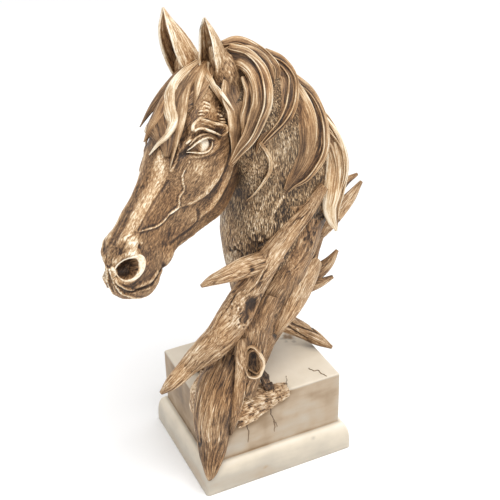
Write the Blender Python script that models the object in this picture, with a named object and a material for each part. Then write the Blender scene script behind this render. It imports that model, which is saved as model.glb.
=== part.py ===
"""Horse head on driftwood: one hollow-cast shelf sculpture on a rectangular plinth.

The casting is a horse's head, neck and mane that grow out of a piece of driftwood. The foot of
the driftwood wraps the front left corner of the plinth and ends on its base moulding.
Frame: metres, +Z up, origin at the centre of the plinth's underside, +X along its wide face.

The free form is drawn in units of one thousandth of a nominal metre, measured from the plinth's
top front left corner, and FIGURE_HEIGHT sets what a unit really is.
"""

import math

import bmesh
import bpy
import numpy as np

for thing in list(bpy.data.objects):
    bpy.data.objects.remove(thing, do_unlink=True)

# Driving dimensions of the plinth, in metres
PLINTH_WIDTH = 0.118
PLINTH_DEPTH = 0.0972
PLINTH_HEIGHT = 0.0757
MOULDING_HEIGHT = 0.0253
MOULDING_OVERHANG = 0.008
EDGE_ROUND = 0.0012

# Driving dimensions of the casting, in metres
FIGURE_HEIGHT = 0.2969
CLEARANCE = 0.0003
REMESH_SIZE = 0.0014

# Facets kept of the casting's own fine mesh
FIGURE_TRIANGLES = 9300

# The free form is drawn for an ear tip 296.9 units over the plinth's top
UNIT = FIGURE_HEIGHT / 296.9
CORNER = np.array([-PLINTH_WIDTH / 2, -PLINTH_DEPTH / 2, PLINTH_HEIGHT])

# Pose of the head: which way it looks, how far it bows and how far it leans, in degrees
HEAD_HEADING = -144.0
HEAD_PITCH = -33.5
HEAD_ROLL = 18.0
HEAD_LENGTH = 167.0
POLL = np.array([30.0, 57.0, 259.0])

# Sections of the head from poll to lips, in hundredths of its length:
# place, top, half width and height at brow, cheek and jaw, and bottom
HEAD_SECTIONS = [
    (-5.0, -3.0, 7.0, -5.0, 9.0, -12.0, 5.5, -22.0, -28.0),
    (4.0, 2.5, 9.0, -1.0, 11.5, -12.0, 8.5, -28.0, -36.0),
    (14.0, 4.5, 11.0, 0.5, 13.0, -13.0, 9.2, -33.0, -42.0),
    (24.0, 5.0, 13.0, 0.0, 14.0, -12.0, 9.2, -35.0, -45.5),
    (34.0, 4.5, 14.5, -2.0, 14.5, -12.0, 9.2, -35.0, -46.0),
    (44.0, 3.0, 11.5, -3.0, 12.5, -12.0, 8.4, -35.5, -45.0),
    (54.0, 0.5, 7.5, -3.5, 9.8, -12.0, 7.2, -31.5, -40.0),
    (64.0, -0.6, 6.0, -3.4, 7.8, -11.0, 6.6, -27.0, -34.5),
    (74.0, -0.8, 5.8, -3.2, 7.4, -10.5, 6.6, -22.5, -29.5),
    (83.0, -0.8, 6.2, -3.4, 8.2, -10.0, 6.8, -21.8, -28.5),
    (90.0, -2.0, 6.6, -5.2, 9.2, -10.5, 7.2, -21.2, -28.0),
    (96.0, -6.0, 6.2, -9.0, 8.2, -13.0, 6.8, -20.2, -26.0),
    (100.0, -11.0, 4.2, -13.0, 5.4, -16.0, 4.2, -19.0, -21.5),
    (101.5, -14.5, 1.5, -15.5, 2.0, -17.0, 1.5, -18.0, -19.0),
]

# The ears: the way each one's back faces, then points of its spine with half widths, all along
# the head's axes and in hundredths of its length
EARS = [
    ((-0.75, -0.03, -0.65), [
        (0.7, 8.0, -3.0, 5.6), (-1.5, 8.5, 1.8, 6.3), (-4.6, 9.5, 8.1, 4.9), (-7.5, 10.5, 14.4, 3.0),
        (-10.4, 11.0, 18.5, 0.5),
    ]),
    ((-0.77, 0.25, -0.59), [
        (-0.4, -8.0, -2.0, 6.5), (-2.2, -9.0, 2.5, 7.2), (-5.4, -10.0, 11.2, 6.0),
        (-9.0, -11.0, 17.9, 3.8), (-14.6, -12.0, 23.2, 0.5),
    ]),
]
# The ears' wall, in the same hundredths, and how far round the wall wraps, in degrees
EAR_WALL = 1.5
EAR_WRAP = 118.0

# Neck stations from the poll down into the wood: centre x, y, z, half depth, half width, lean
NECK_SECTIONS = [
    (42.0, 45.0, 245.0, 25.0, 24.0, 40.0),
    (57.0, 44.0, 231.0, 35.0, 30.0, 38.0),
    (75.0, 45.0, 209.0, 43.0, 33.0, 28.0),
    (87.0, 47.0, 180.0, 47.0, 33.0, 15.0),
    (89.0, 46.0, 154.0, 49.0, 35.0, 5.0),
    (82.0, 45.0, 130.0, 44.0, 34.0, 0.0),
    (75.0, 43.0, 108.0, 37.0, 30.0, -5.0),
    (69.0, 41.0, 88.0, 29.0, 24.0, -10.0),
    (63.0, 38.0, 70.0, 20.0, 17.0, -12.0),
    (59.0, 36.0, 56.0, 9.0, 8.0, -12.0),
]

# Locks of the mane: half width, half thickness and the way they fall, as x, y, z
NEAR_LOCKS = [
    (8.0, 5.0, [
        (46, 44, 272), (53, 34, 270), (57, 24, 264), (58, 17, 253), (56, 13, 243), (51, 11, 233),
        (44, 9, 222), (35, 8, 213), (28, 7, 205),
    ]),
    (4.5, 3.5, [
        (51, 27, 259), (51, 20, 252), (48, 16, 243), (44, 13, 235), (43, 12, 227), (38, 10, 218),
    ]),
    (6.5, 5.0, [
        (47, 55, 272), (57, 53, 273), (65, 49, 269), (73, 43, 263), (77, 37, 257), (76, 33, 251),
        (74, 32, 246),
    ]),
    (4.5, 4.5, [(54, 48, 271), (62, 42, 270), (68, 35, 265), (71, 30, 257), (72, 27, 245)]),
    (8.0, 5.5, [
        (75, 50, 263), (84, 45, 257), (87, 36, 250), (84, 27, 242), (79, 21, 233), (72, 17, 226),
        (63, 14, 220), (55, 12, 214), (51, 11, 207),
    ]),
    (9.5, 5.5, [
        (96, 47, 241), (103, 36, 231), (105, 28, 220), (105, 22, 208), (103, 18, 197), (97, 16, 188),
        (90, 15, 181), (80, 14, 176), (74, 13, 170),
    ]),
    (9.0, 6.0, [
        (98, 50, 228), (112, 41, 214), (123, 36, 195), (130, 32, 174), (127, 28, 156), (123, 25, 140),
        (124, 23, 121),
    ]),
    (9.0, 5.5, [
        (94, 44, 234), (110, 34, 212), (122, 27, 192), (124, 22, 172), (118, 19, 156), (111, 18, 142),
    ]),
]
FAR_LOCKS = [
    (10.0, 5.5, [(44, 60, 264), (54, 70, 258), (59, 80, 242), (54, 84, 220), (44, 84, 200)]),
    (11.0, 6.0, [(52, 56, 260), (72, 74, 246), (82, 82, 224), (78, 86, 200), (66, 86, 178)]),
    (11.0, 6.0, [(78, 54, 242), (96, 72, 227), (106, 82, 205), (102, 86, 180), (92, 86, 156)]),
    (11.0, 6.0, [(98, 52, 226), (116, 64, 206), (127, 74, 184), (124, 82, 160), (114, 84, 136)]),
]
CREST_LOCKS = [
    (11.0, 7.0, [(42, 58, 262), (54, 55, 265), (72, 53, 255), (94, 51, 230), (114, 50, 203)]),
    (12.0, 7.0, [
        (74, 51, 250), (101, 50, 222), (122, 50, 193), (132, 49, 168), (128, 44, 146), (120, 34, 126),
    ]),
]

# Limbs of the driftwood: points as x, y, z, half width, half thickness
DIAGONAL_LIMB = [
    (108, 18, 166, 3.8, 4.0), (90, 15, 150, 5.8, 6.0), (77, 13, 139, 7.0, 7.0), (59, 9, 123, 9.5, 9.0),
    (44, 6, 105, 11.5, 10.0), (30, 6, 84, 13.0, 10.0), (16, 9, 63, 12.5, 9.5), (3, 12, 50, 11.0, 8.5),
    (-6, 15, 41, 8.3, 7.0), (-24, 19, 24, 4.3, 4.0), (-30, 21, 18, 1.5, 1.6),
]
SIDE_SPIKE = [
    (66, 8, 124, 6.0, 7.0), (51, 7, 121, 7.0, 7.5), (35, 5, 121, 7.0, 7.0), (19, 2, 121, 5.6, 5.5),
    (8, 0, 121, 4.0, 4.0), (-1, -2, 120, 1.4, 1.5),
]
BODY_SLAB = [
    (97, 30, 130, 11.0, 12.0), (86, 26, 113, 15.0, 13.0), (76, 24, 94, 19.0, 13.0), (65, 22, 77, 20.0, 13.0),
    (54, 21, 56, 17.0, 12.0), (46, 20, 34, 12.0, 11.0),
]
BODY_FACING = (0.45, -0.89, 0.0)
TRUNK = [
    (86, 44, 158, 36.0, 33.0), (84, 44, 124, 32.0, 34.0), (77, 42, 94, 27.0, 31.0), (67, 38, 68, 23.0, 27.0),
    (52, 31, 42, 21.0, 23.0), (32, 21, 18, 20.0, 20.0), (20, 15, 0, 17.0, 17.0),
]
KNOT_LIMB = [
    (60, 16, 86, 12.0, 9.0), (49, 12, 68, 13.0, 10.0), (42, 8, 49, 13.0, 9.0), (37, 5, 28, 11.5, 8.5),
    (31, 2, 8, 9.0, 7.0),
]
RIGHT_SLAB = [
    (114, 45, 112, 10.0, 12.0), (104, 41, 92, 11.5, 12.0), (99, 37, 75, 12.0, 12.0), (89, 35, 60, 11.5, 11.0),
    (75, 31, 48, 10.5, 10.0), (60, 27, 34, 9.5, 10.0),
]
RIGHT_SPIKES = [
    [(98, 38, 74, 8.0, 8.0), (107, 37, 77, 6.5, 6.0), (117, 37, 80, 5.6, 5.0), (126, 37, 85, 4.2, 3.8),
     (134, 37, 94, 1.4, 1.5)],
    [(94, 36, 66, 7.0, 7.0), (104, 35, 68, 5.8, 5.0), (116, 33, 70, 3.8, 3.5), (127, 31, 74, 1.4, 1.5)],
]
BACK_SPIKES = [
    [(100, 47, 97, 8.0, 9.0), (116, 51, 101, 6.5, 7.0), (132, 55, 107, 6.5, 6.0), (148, 60, 116, 6.2, 5.0),
     (161, 63, 125, 5.0, 4.0), (173, 67, 134, 1.6, 1.6)],
    [(104, 54, 96, 11.0, 11.0), (125, 61, 107, 7.5, 6.5), (146, 69, 121, 5.8, 5.0), (161, 75, 132, 4.0, 3.6),
     (176, 79, 135, 1.4, 1.4)],
    [(86, 50, 66, 7.0, 7.0), (96, 62, 84, 13.0, 10.0), (108, 74, 104, 12.0, 8.0), (117, 81, 122, 8.0, 6.0),
     (124, 86, 140, 2.4, 2.0)],
]
BACK_ROOT = [
    (72, 50, 44, 12.0, 11.0), (85, 54, 34, 10.5, 10.0), (99, 53, 22, 8.0, 8.0), (111, 49, 13, 7.2, 7.0),
    (120, 42, 7, 6.0, 5.5), (130, 35, 0, 1.8, 1.8),
]
REAR_ROOTS = [
    [(76, 44, 76, 7.0, 7.0), (74, 54, 54, 14.0, 12.0), (70, 66, 28, 14.0, 10.0), (68, 76, 9, 13.0, 7.0),
     (70, 84, -2, 8.0, 4.5)],
    [(58, 36, 62, 7.0, 7.0), (47, 44, 40, 13.0, 11.0), (32, 50, 20, 12.0, 10.0), (20, 55, 6, 10.0, 6.5),
     (14, 60, -2, 6.0, 4.0)],
]


def curve_through(knots, rows, places):
    """Smooth curve through rows of values at increasing knots, read at the given places.

    Each span is a cubic Hermite piece, whose slopes come from the rows on either side.
    """
    knots = np.asarray(knots, float)
    rows = np.asarray(rows, float)
    slopes = np.gradient(rows, knots, axis=0)
    span = np.clip(np.searchsorted(knots, places, side="right") - 1, 0, len(knots) - 2)
    length = (knots[span + 1] - knots[span])[:, None]
    t = ((places - knots[span])[:, None]) / length
    start = rows[span] * (1 + 2 * t) * (1 - t) ** 2 + slopes[span] * length * t * (1 - t) ** 2
    end = rows[span + 1] * (3 - 2 * t) * t ** 2 - slopes[span + 1] * length * t ** 2 * (1 - t)
    return start + end


def unit_rows(vectors):
    """The same vectors, each one long."""
    return vectors / np.maximum(np.linalg.norm(vectors, axis=-1, keepdims=True), 1e-9)


def closed_grid(rings):
    """Vertices and faces of a closed skin over rings (ring, place on the ring, xyz).

    Each end is a fan round the middle of its ring.
    """
    count, sides = rings.shape[:2]
    ends = [rings[0].mean(axis=0), rings[-1].mean(axis=0)]
    verts = np.vstack([rings.reshape(-1, 3), ends])
    index = np.arange(count * sides).reshape(count, sides)
    after = np.roll(index, -1, axis=1)
    quads = np.stack([index[:-1], after[:-1], after[1:], index[1:]], axis=-1).reshape(-1, 4)
    faces = [tuple(quad) for quad in quads.tolist()]
    faces += [(count * sides, b, a) for a, b in zip(index[0].tolist(), after[0].tolist())]
    faces += [(count * sides + 1, a, b) for a, b in zip(index[-1].tolist(), after[-1].tolist())]
    return verts, faces


def limb(points, facing=(0.0, -1.0, 0.0), rings=26, sides=20, flutes=0.0, twist=1.0):
    """Tapering limb along a smooth path of x, y, z, half width, half thickness.

    Its thickness faces the given way, and flutes are the depth of five grooves along it.
    """
    points = np.asarray(points, float)
    steps = np.linalg.norm(np.diff(points[:, :3], axis=0), axis=1)
    knots = np.concatenate([[0.0], np.cumsum(steps)])
    rows = curve_through(knots, points, np.linspace(0.0, knots[-1], rings))
    along = unit_rows(np.gradient(rows[:, :3], axis=0))
    across = unit_rows(np.cross(along, np.asarray(facing, float)))
    outward = np.cross(across, along)
    angle = np.linspace(0.0, 2 * math.pi, sides, endpoint=False)
    share = np.linspace(0.0, 1.0, rings)[:, None]
    swell = 1.0 + flutes * np.cos(5 * angle + twist * 2 * math.pi * share)
    wide = (np.maximum(rows[:, 3:4], 0.6) * swell * np.cos(angle))[..., None] * across[:, None]
    thick = (np.maximum(rows[:, 4:5], 0.6) * swell * np.sin(angle))[..., None] * outward[:, None]
    return closed_grid(rows[:, None, :3] + wide + thick)


def lock(half_width, half_thickness, path, facing):
    """Lock of hair: a limb that swells from its root and ends in a point."""
    path = np.asarray(path, float)
    share = np.linspace(0.0, 1.0, len(path))
    taper = 0.12 + 0.88 * np.sin(math.pi * (0.25 + 0.72 * share)) ** 0.8
    rows = np.column_stack([path, half_width * taper, half_thickness * taper])
    return limb(rows, facing=facing, rings=22, sides=14, flutes=0.10, twist=0.4)


def head_axes():
    """Forward, left and upward directions of the head from its heading, pitch and roll."""
    heading, pitch, roll = (math.radians(a) for a in (HEAD_HEADING, HEAD_PITCH, HEAD_ROLL))
    level = math.cos(pitch)
    forward = np.array([level * math.cos(heading), level * math.sin(heading), math.sin(pitch)])
    flat_left = np.array([-math.sin(heading), math.cos(heading), 0.0])
    flat_up = np.cross(forward, flat_left)
    left = flat_left * math.cos(roll) + flat_up * math.sin(roll)
    return forward, left, np.cross(forward, left)


def from_head(local):
    """Free-form units from hundredths of the head's length along its own axes."""
    return POLL + np.asarray(local, float) / 100.0 * HEAD_LENGTH @ np.array(head_axes())


def bump(points, centre, radii, height):
    """Soft round swelling of a height at a centre, over radii along each axis."""
    offset = (points - np.asarray(centre, float)) / np.asarray(radii, float)
    return height * np.exp(-np.sum(offset ** 2, axis=-1))


def ridge(points, path, width, height):
    """Soft ridge of a height and width along straight runs between the path's points."""
    path = np.asarray(path, float)
    nearest = np.full(points.shape[:-1], np.inf)
    for start, end in zip(path[:-1], path[1:]):
        run = end - start
        share = np.clip(((points - start) @ run) / (run @ run), 0.0, 1.0)
        nearest = np.minimum(nearest, np.linalg.norm(points - start - share[..., None] * run, axis=-1))
    return height * np.exp(-(nearest / width) ** 2)


def face_relief(p):
    """How far each point of the head stands out or in, in hundredths of its length.

    It is worked out on the left side, at |y|. The right side is the same but for a lower brow.
    """
    side = p * np.array([1.0, 0.0, 1.0]) + np.abs(p) * np.array([0.0, 1.0, 0.0])
    eye = np.array([34.5, 14.0, -8.0])
    offset = (side - eye) / np.array([5.2, 6.0, 3.2])
    reach = np.linalg.norm(offset, axis=-1)
    out = -3.2 * np.exp(-(reach / 1.1) ** 2) + 2.4 * np.exp(-((reach - 1.2) / 0.32) ** 2)
    brow = ridge(side, [(43, 10.0, -3.5), (37, 12.5, -2.2), (29, 15.0, -4.0)], 1.8, 3.0)
    out += brow * np.where(p[..., 1] < 0, 0.4, 1.0)
    out += bump(side, (25, 10, -1), (6, 5, 5), -1.8)
    out += ridge(side, [(44, 11, -13), (54, 9.4, -13), (64, 7.4, -12)], 1.8, 1.3)
    out += ridge(side, [(20, 13, -14), (25, 12, -22), (33, 11, -27), (45, 10, -26), (54, 9, -20)], 1.5, 2.2)
    out += ridge(side, [(54, 9, -20), (63, 8, -12), (72, 7.5, -10), (80, 8, -8)], 1.2, 1.4)
    out += ridge(side, [(28, 10, -30), (36, 10, -35), (48, 8, -33), (56, 7, -29)], 1.3, 1.8)
    out += bump(side, (24, 11, -24), (11, 6, 10), 0.9)
    out += bump(side, (52, 8, -20), (9, 5, 5), -0.9)
    nostril = (side - np.array([90.5, 8.0, -9.5])) / np.array([3.6, 6.0, 3.4])
    reach = np.linalg.norm(nostril, axis=-1)
    out += -5.0 * np.exp(-(reach / 0.8) ** 2) + 2.0 * np.exp(-((reach - 1.25) / 0.34) ** 2)
    out += ridge(side, [(99, 2.0, -17.6), (93, 5.6, -18.0), (86, 5.8, -17.4)], 0.9, -1.5)
    out += bump(side, (88, 2, -24), (5, 5, 4), 1.2)
    out += bump(side, (79, 3, -24), (4, 6, 4), -1.0)
    out += bump(side, (84.5, 6.8, -4.2), (4.5, 3.6, 3.4), 2.0)
    return out


def skin_normals(rings):
    """Outward directions of a grid of rings, from the slopes along and round it."""
    along = np.gradient(rings, axis=0)
    around = np.roll(rings, -1, axis=1) - np.roll(rings, 1, axis=1)
    return unit_rows(np.cross(along, around))


def head():
    """The head: sections through eight points each, swept from poll to lips, then its relief.

    The side turned to the wall is a little flatter at the brow.
    """
    table = np.asarray(HEAD_SECTIONS)
    rows = curve_through(table[:, 0], table, np.linspace(table[0, 0], table[-1, 0], 72))
    place, top, brow, brow_z, cheek, cheek_z, jaw, jaw_z, bottom = rows.T
    none = np.zeros_like(place)
    widths = np.stack([none, brow, cheek, jaw, none, -jaw, -cheek, -brow, none], axis=1)
    heights = np.stack([top, brow_z, cheek_z, jaw_z, bottom, jaw_z, cheek_z, brow_z, top], axis=1)
    corners = np.stack([np.repeat(place[:, None], 9, axis=1), widths, heights], axis=-1)
    wrapped = np.concatenate([corners[:, 6:8], corners, corners[:, 1:3]], axis=1)
    turns = np.linspace(0.0, 8.0, 64, endpoint=False)
    rings = np.stack([curve_through(np.arange(-2.0, 11.0), ring, turns) for ring in wrapped])
    rings[..., 1] *= 1.0 - 0.17 * (rings[..., 1] < 0) * np.exp(-((rings[..., 0] - 36.0) / 9.0) ** 2)
    outward = skin_normals(rings)
    rings = rings + outward * face_relief(rings)[..., None]
    return closed_grid(from_head(rings))


def eyeballs():
    """Two smooth blank eyeballs, set in the sockets."""
    balls = []
    for side in (1.0, -1.0):
        angle = np.linspace(0.0, 2 * math.pi, 20, endpoint=False)
        rise = np.linspace(0.15, math.pi - 0.15, 12)[:, None]
        flat = np.cos(rise) + np.zeros_like(angle)
        ring = np.stack([flat, np.sin(rise) * np.cos(angle), np.sin(rise) * np.sin(angle)], axis=-1)
        local = np.array([34.5, side * 11.8, -8.0]) + ring * np.array([4.2, 3.4, 2.8])
        balls.append(closed_grid(from_head(local)))
    return balls


def ear(back, points):
    """One ear: a cup along a curved spine, whose section is a thick arc that is open to the front.

    Its back faces the given way, and both that and the spine's points are local to the head.
    """
    points = np.asarray(points, float)
    rows = curve_through(np.arange(len(points)), points, np.linspace(0, len(points) - 1, 24))
    spine = rows[:, :3]
    radius = np.maximum(rows[:, 3:], 0.4)
    lean = unit_rows(np.gradient(spine, axis=0))
    across = unit_rows(np.cross(lean, np.asarray(back, float)))
    behind = np.cross(across, lean)
    inside = np.maximum(radius - EAR_WALL, 0.25 * radius)
    angle = np.radians(EAR_WRAP) * np.linspace(-1.0, 1.0, 15)
    arc = np.stack([np.sin(angle), np.cos(angle)], axis=-1)
    outer_ring = radius[..., None] * (arc[:, :1] * across[:, None] + arc[:, 1:] * behind[:, None])
    inner_arc = arc[::-1][1:-1]
    inner_ring = inner_arc[:, :1] * across[:, None] + inner_arc[:, 1:] * behind[:, None]
    inner_ring = inside[..., None] * inner_ring
    rings = spine[:, None] + np.concatenate([outer_ring, inner_ring], axis=1)
    return closed_grid(from_head(rings))


def ear_root(side):
    """The round muscle behind the foot of an ear."""
    points = np.array([[6.0, side * 8.5, -10.0], [-0.5, side * 10.5, -6.5], [-4.5, side * 9.5, -1.5]])
    rows = np.column_stack([from_head(points), [9.5, 10.5, 7.5], [9.0, 10.0, 7.0]])
    return limb(rows, facing=head_axes()[0], rings=10, sides=16)


def forelock():
    """Strands that fall from between the ears over the brow, as local paths with a half width."""
    strands = [
        (3.2, [
            (-1, 1, 2.5), (5, -2.2, 4.2), (12.5, -3.2, 5.6), (20, -1.3, 6.2), (27.7, 3.6, 5.8),
            (32.4, 6.6, 4.6), (37.5, 6.2, 4.0), (42.5, 3.4, 4.0), (47, 0.4, 3.2),
        ]),
        (3.0, [(-1, -1, 2.5), (7, -5.0, 4.2), (14, -9.6, 3.6), (22, -14, 1.8), (29.5, -17.8, -1.0)]),
        (2.4, [(14, -4, 5.2), (23.7, -2.5, 6.2), (30, -2.3, 6.0), (35.6, -4.1, 5.2), (41, -6, 3.8)]),
        (2.4, [
            (-1, 3, 2.5), (10.4, 3.9, 5.0), (20.2, 6.5, 5.3), (28.5, 9.3, 4.2), (35.6, 10.3, 2.6),
            (42.2, 9.9, 0.6), (50, 9.2, -2.6),
        ]),
        (2.4, [(-1, 4, 2.0), (3.7, 6.1, 3.1), (10.8, 8.5, 3.9), (17.1, 10.4, 3.6), (23.1, 11.4, 3.0)]),
        (1.6, [(-0.5, 5.5, 2.5), (4.7, 7.7, 2.4), (8.5, 11.3, 0.2), (11, 13.2, -3.8), (14, 14.2, -10.5)]),
        (3.0, [(2.1, 2.1, 2.9), (11.6, 3.8, 5.0), (21.4, 4.5, 5.5), (29.7, 6.5, 4.6), (36, 9.0, 3.4)]),
    ]
    parts = []
    for half_width, path in strands:
        share = np.linspace(0.0, 1.0, len(path))
        taper = 0.15 + 0.85 * np.sin(math.pi * (0.3 + 0.66 * share)) ** 0.8
        size = half_width * HEAD_LENGTH / 100.0 * taper
        rows = np.column_stack([from_head(path), size, size * 0.55])
        parts.append(limb(rows, facing=head_axes()[2], rings=20, sides=14, flutes=0.10))
    return parts


def neck():
    """The neck: egg-shaped sections, thinner at the crest, from the poll down into the wood."""
    table = np.asarray(NECK_SECTIONS)
    rows = curve_through(np.arange(len(table)), table, np.linspace(0, len(table) - 1, 36))
    x, y, z, deep, wide, lean = rows.T
    lean = np.radians(lean)[:, None]
    angle = np.linspace(0.0, 2 * math.pi, 40, endpoint=False)
    forward = deep[:, None] * np.cos(angle)
    sideways = wide[:, None] * np.sin(angle) * (1.0 - 0.22 * np.cos(angle))
    rings = np.stack([
        x[:, None] + forward * np.cos(lean),
        y[:, None] + sideways,
        z[:, None] + forward * np.sin(lean),
    ], axis=-1)
    return closed_grid(rings[:, ::-1])


def foot_tongue():
    """The wood's foot, which runs down the plinth's front left corner and ends on the moulding."""
    face = (PLINTH_HEIGHT - MOULDING_HEIGHT) / UNIT
    step = MOULDING_OVERHANG / UNIT
    drop = MOULDING_HEIGHT / UNIT
    points = [
        (30, 22, 34, 15.0, 13.0),
        (14, 11, 12, 15.5, 14.0),
        (5, 5, -0.20 * face, 15.5, 12.5),
        (3, 3, -0.55 * face, 13.5, 10.5),
        (2, 2, -0.85 * face, 10.0, 8.5),
        (1 - 0.5 * step, -0.6 * step, -face, 7.5, 6.0),
        (2 - 0.8 * step, -0.9 * step, -face - 0.16 * drop, 4.5, 4.0),
        (3 - step, -step, -face - 0.28 * drop, 1.6, 1.6),
    ]
    return limb(points, facing=(-1.0, -1.0, 0.0), flutes=0.05)


def bark_sheets():
    """Thin ragged wood on the plinth: bark on its left face, a root over its front edge, a tongue."""
    face = (PLINTH_HEIGHT - MOULDING_HEIGHT) / UNIT
    left = [
        (14, 24, 14, 15.0, 9.0), (3, 22, 2, 16.0, 5.0), (-0.5, 20, -0.12 * face, 15.0, 3.2),
        (-0.5, 17, -0.35 * face, 11.0, 3.0), (-0.5, 13, -0.65 * face, 7.0, 2.6),
        (-0.5, 10, -0.9 * face, 3.0, 2.2),
    ]
    front = [
        (22, -0.5, -0.20 * face, 13.0, 3.0), (38, -0.5, -0.13 * face, 12.0, 3.6),
        (54, -0.5, -0.07 * face, 8.5, 3.2), (70, -0.5, -0.02 * face, 3.5, 2.4),
    ]
    top = [(22, 16, 8, 11.0, 8.0), (38, 8, 5, 10.0, 6.0), (54, 5, 2, 8.0, 4.0), (70, 4, 0.5, 4.0, 2.4)]
    tongue = [
        (34, 4, 26, 9.0, 8.0), (28, 2, 10, 8.5, 7.0), (23, 0.5, -0.16 * face, 7.5, 5.0),
        (19, -0.5, -0.38 * face, 6.0, 4.0), (17, -0.5, -0.58 * face, 2.0, 2.0),
    ]
    return [
        limb(left, facing=(-1.0, 0.0, 0.2)),
        limb(front, facing=(0.0, -1.0, 0.0)),
        limb(top, facing=(0.0, -0.2, 1.0)),
        limb(tongue, flutes=0.05),
    ]


def knot_ring():
    """The round rim of the knot hole low on the trunk, as a closed ring of round section."""
    turn = np.linspace(0.0, 2 * math.pi, 24, endpoint=False)
    tube = np.linspace(0.0, 2 * math.pi, 10, endpoint=False)
    across = np.array([0.93, -0.30, 0.20])
    upward = np.array([-0.05, 0.30, 0.95])
    outward = np.cross(across, upward)
    centre = np.array([39.0, -3.0, 40.0])
    ray = np.cos(turn)[:, None] * across * 8.0 + np.sin(turn)[:, None] * upward * 12.0
    along = unit_rows(ray)
    thick = 2.6
    section = np.cos(tube)[None, :, None] * along[:, None] * thick
    section = section + np.sin(tube)[None, :, None] * outward * thick
    rings = centre + ray[:, None] + section
    count, sides = rings.shape[:2]
    index = np.arange(count * sides).reshape(count, sides)
    after = np.roll(index, -1, axis=1)
    quads = np.stack([index, after, np.roll(after, -1, axis=0), np.roll(index, -1, axis=0)], axis=-1)
    return rings.reshape(-1, 3), [tuple(quad) for quad in quads.reshape(-1, 4).tolist()]


def joined_mesh(name, parts):
    """One mesh from many closed skins, with every face turned outwards."""
    verts = []
    faces = []
    for part_verts, part_faces in parts:
        base = len(verts)
        verts += part_verts.tolist()
        faces += [tuple(base + corner for corner in face) for face in part_faces]
    placed = CORNER + np.asarray(verts) * UNIT
    mesh = bpy.data.meshes.new(name)
    mesh.from_pydata(placed.tolist(), [], faces)
    shell = bmesh.new()
    shell.from_mesh(mesh)
    bmesh.ops.recalc_face_normals(shell, faces=shell.faces)
    shell.to_mesh(mesh)
    shell.free()
    return mesh


def principled(name, colour, roughness):
    """Plain coated material of a colour, for an object of its own."""
    material = bpy.data.materials.new(name)
    material.use_nodes = True
    shader = material.node_tree.nodes["Principled BSDF"]
    shader.inputs["Base Color"].default_value = (*colour, 1.0)
    shader.inputs["Roughness"].default_value = roughness
    shader.inputs["Metallic"].default_value = 0.0
    return material


def add_object(name, mesh, material=None):
    """Link a mesh into the scene under a name, with its own material."""
    item = bpy.data.objects.new(name, mesh)
    bpy.context.scene.collection.objects.link(item)
    if material is not None:
        mesh.materials.append(material)
    return item


def evaluated_copy(item, name):
    """A new mesh with the object's modifiers applied."""
    bpy.context.view_layer.update()
    depsgraph = bpy.context.evaluated_depsgraph_get()
    mesh = bpy.data.meshes.new_from_object(item.evaluated_get(depsgraph))
    mesh.name = name
    return mesh


def plinth_profile(grow=0.0):
    """Heights and outward offsets of the plinth's side, foot to top: bullnose, then the straight body."""
    bulge = [(0.0, MOULDING_OVERHANG - 0.0016), (0.0006, MOULDING_OVERHANG - 0.0006)]
    for turn in np.linspace(0.0, 1.0, 9):
        angle = turn * math.pi / 2
        height = 0.008 + (MOULDING_HEIGHT - 0.008) * math.sin(angle)
        offset = MOULDING_OVERHANG * (1 - (1 - math.cos(angle)) ** 1.2)
        bulge.append((height, offset))
    body = [(PLINTH_HEIGHT - EDGE_ROUND, 0.0), (PLINTH_HEIGHT - EDGE_ROUND * 0.3, -EDGE_ROUND * 0.3)]
    body.append((PLINTH_HEIGHT, -EDGE_ROUND))
    return [
        (height + (grow if height > 0.001 else -grow), offset + grow)
        for height, offset in bulge + body
    ]


def plinth_mesh(name, grow=0.0):
    """The plinth: its side profile carried round the rectangle, with flat top and underside."""
    verts = []
    faces = []
    profile = plinth_profile(grow)
    for height, offset in profile:
        x = PLINTH_WIDTH / 2 + offset
        y = PLINTH_DEPTH / 2 + offset
        verts += [(-x, -y, height), (x, -y, height), (x, y, height), (-x, y, height)]
    for level in range(len(profile) - 1):
        for side in range(4):
            a = 4 * level + side
            b = 4 * level + (side + 1) % 4
            faces.append((a, b, b + 4, a + 4))
    faces.append((3, 2, 1, 0))
    last = 4 * (len(profile) - 1)
    faces.append((last, last + 1, last + 2, last + 3))
    mesh = bpy.data.meshes.new(name)
    mesh.from_pydata(verts, [], faces)
    return mesh


def make_plinth():
    """The plinth as a solid of its own."""
    ivory = principled("aged_ivory_plinth", (0.66, 0.57, 0.45), 0.5)
    return add_object("plinth", plinth_mesh("plinth"), ivory)


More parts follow.
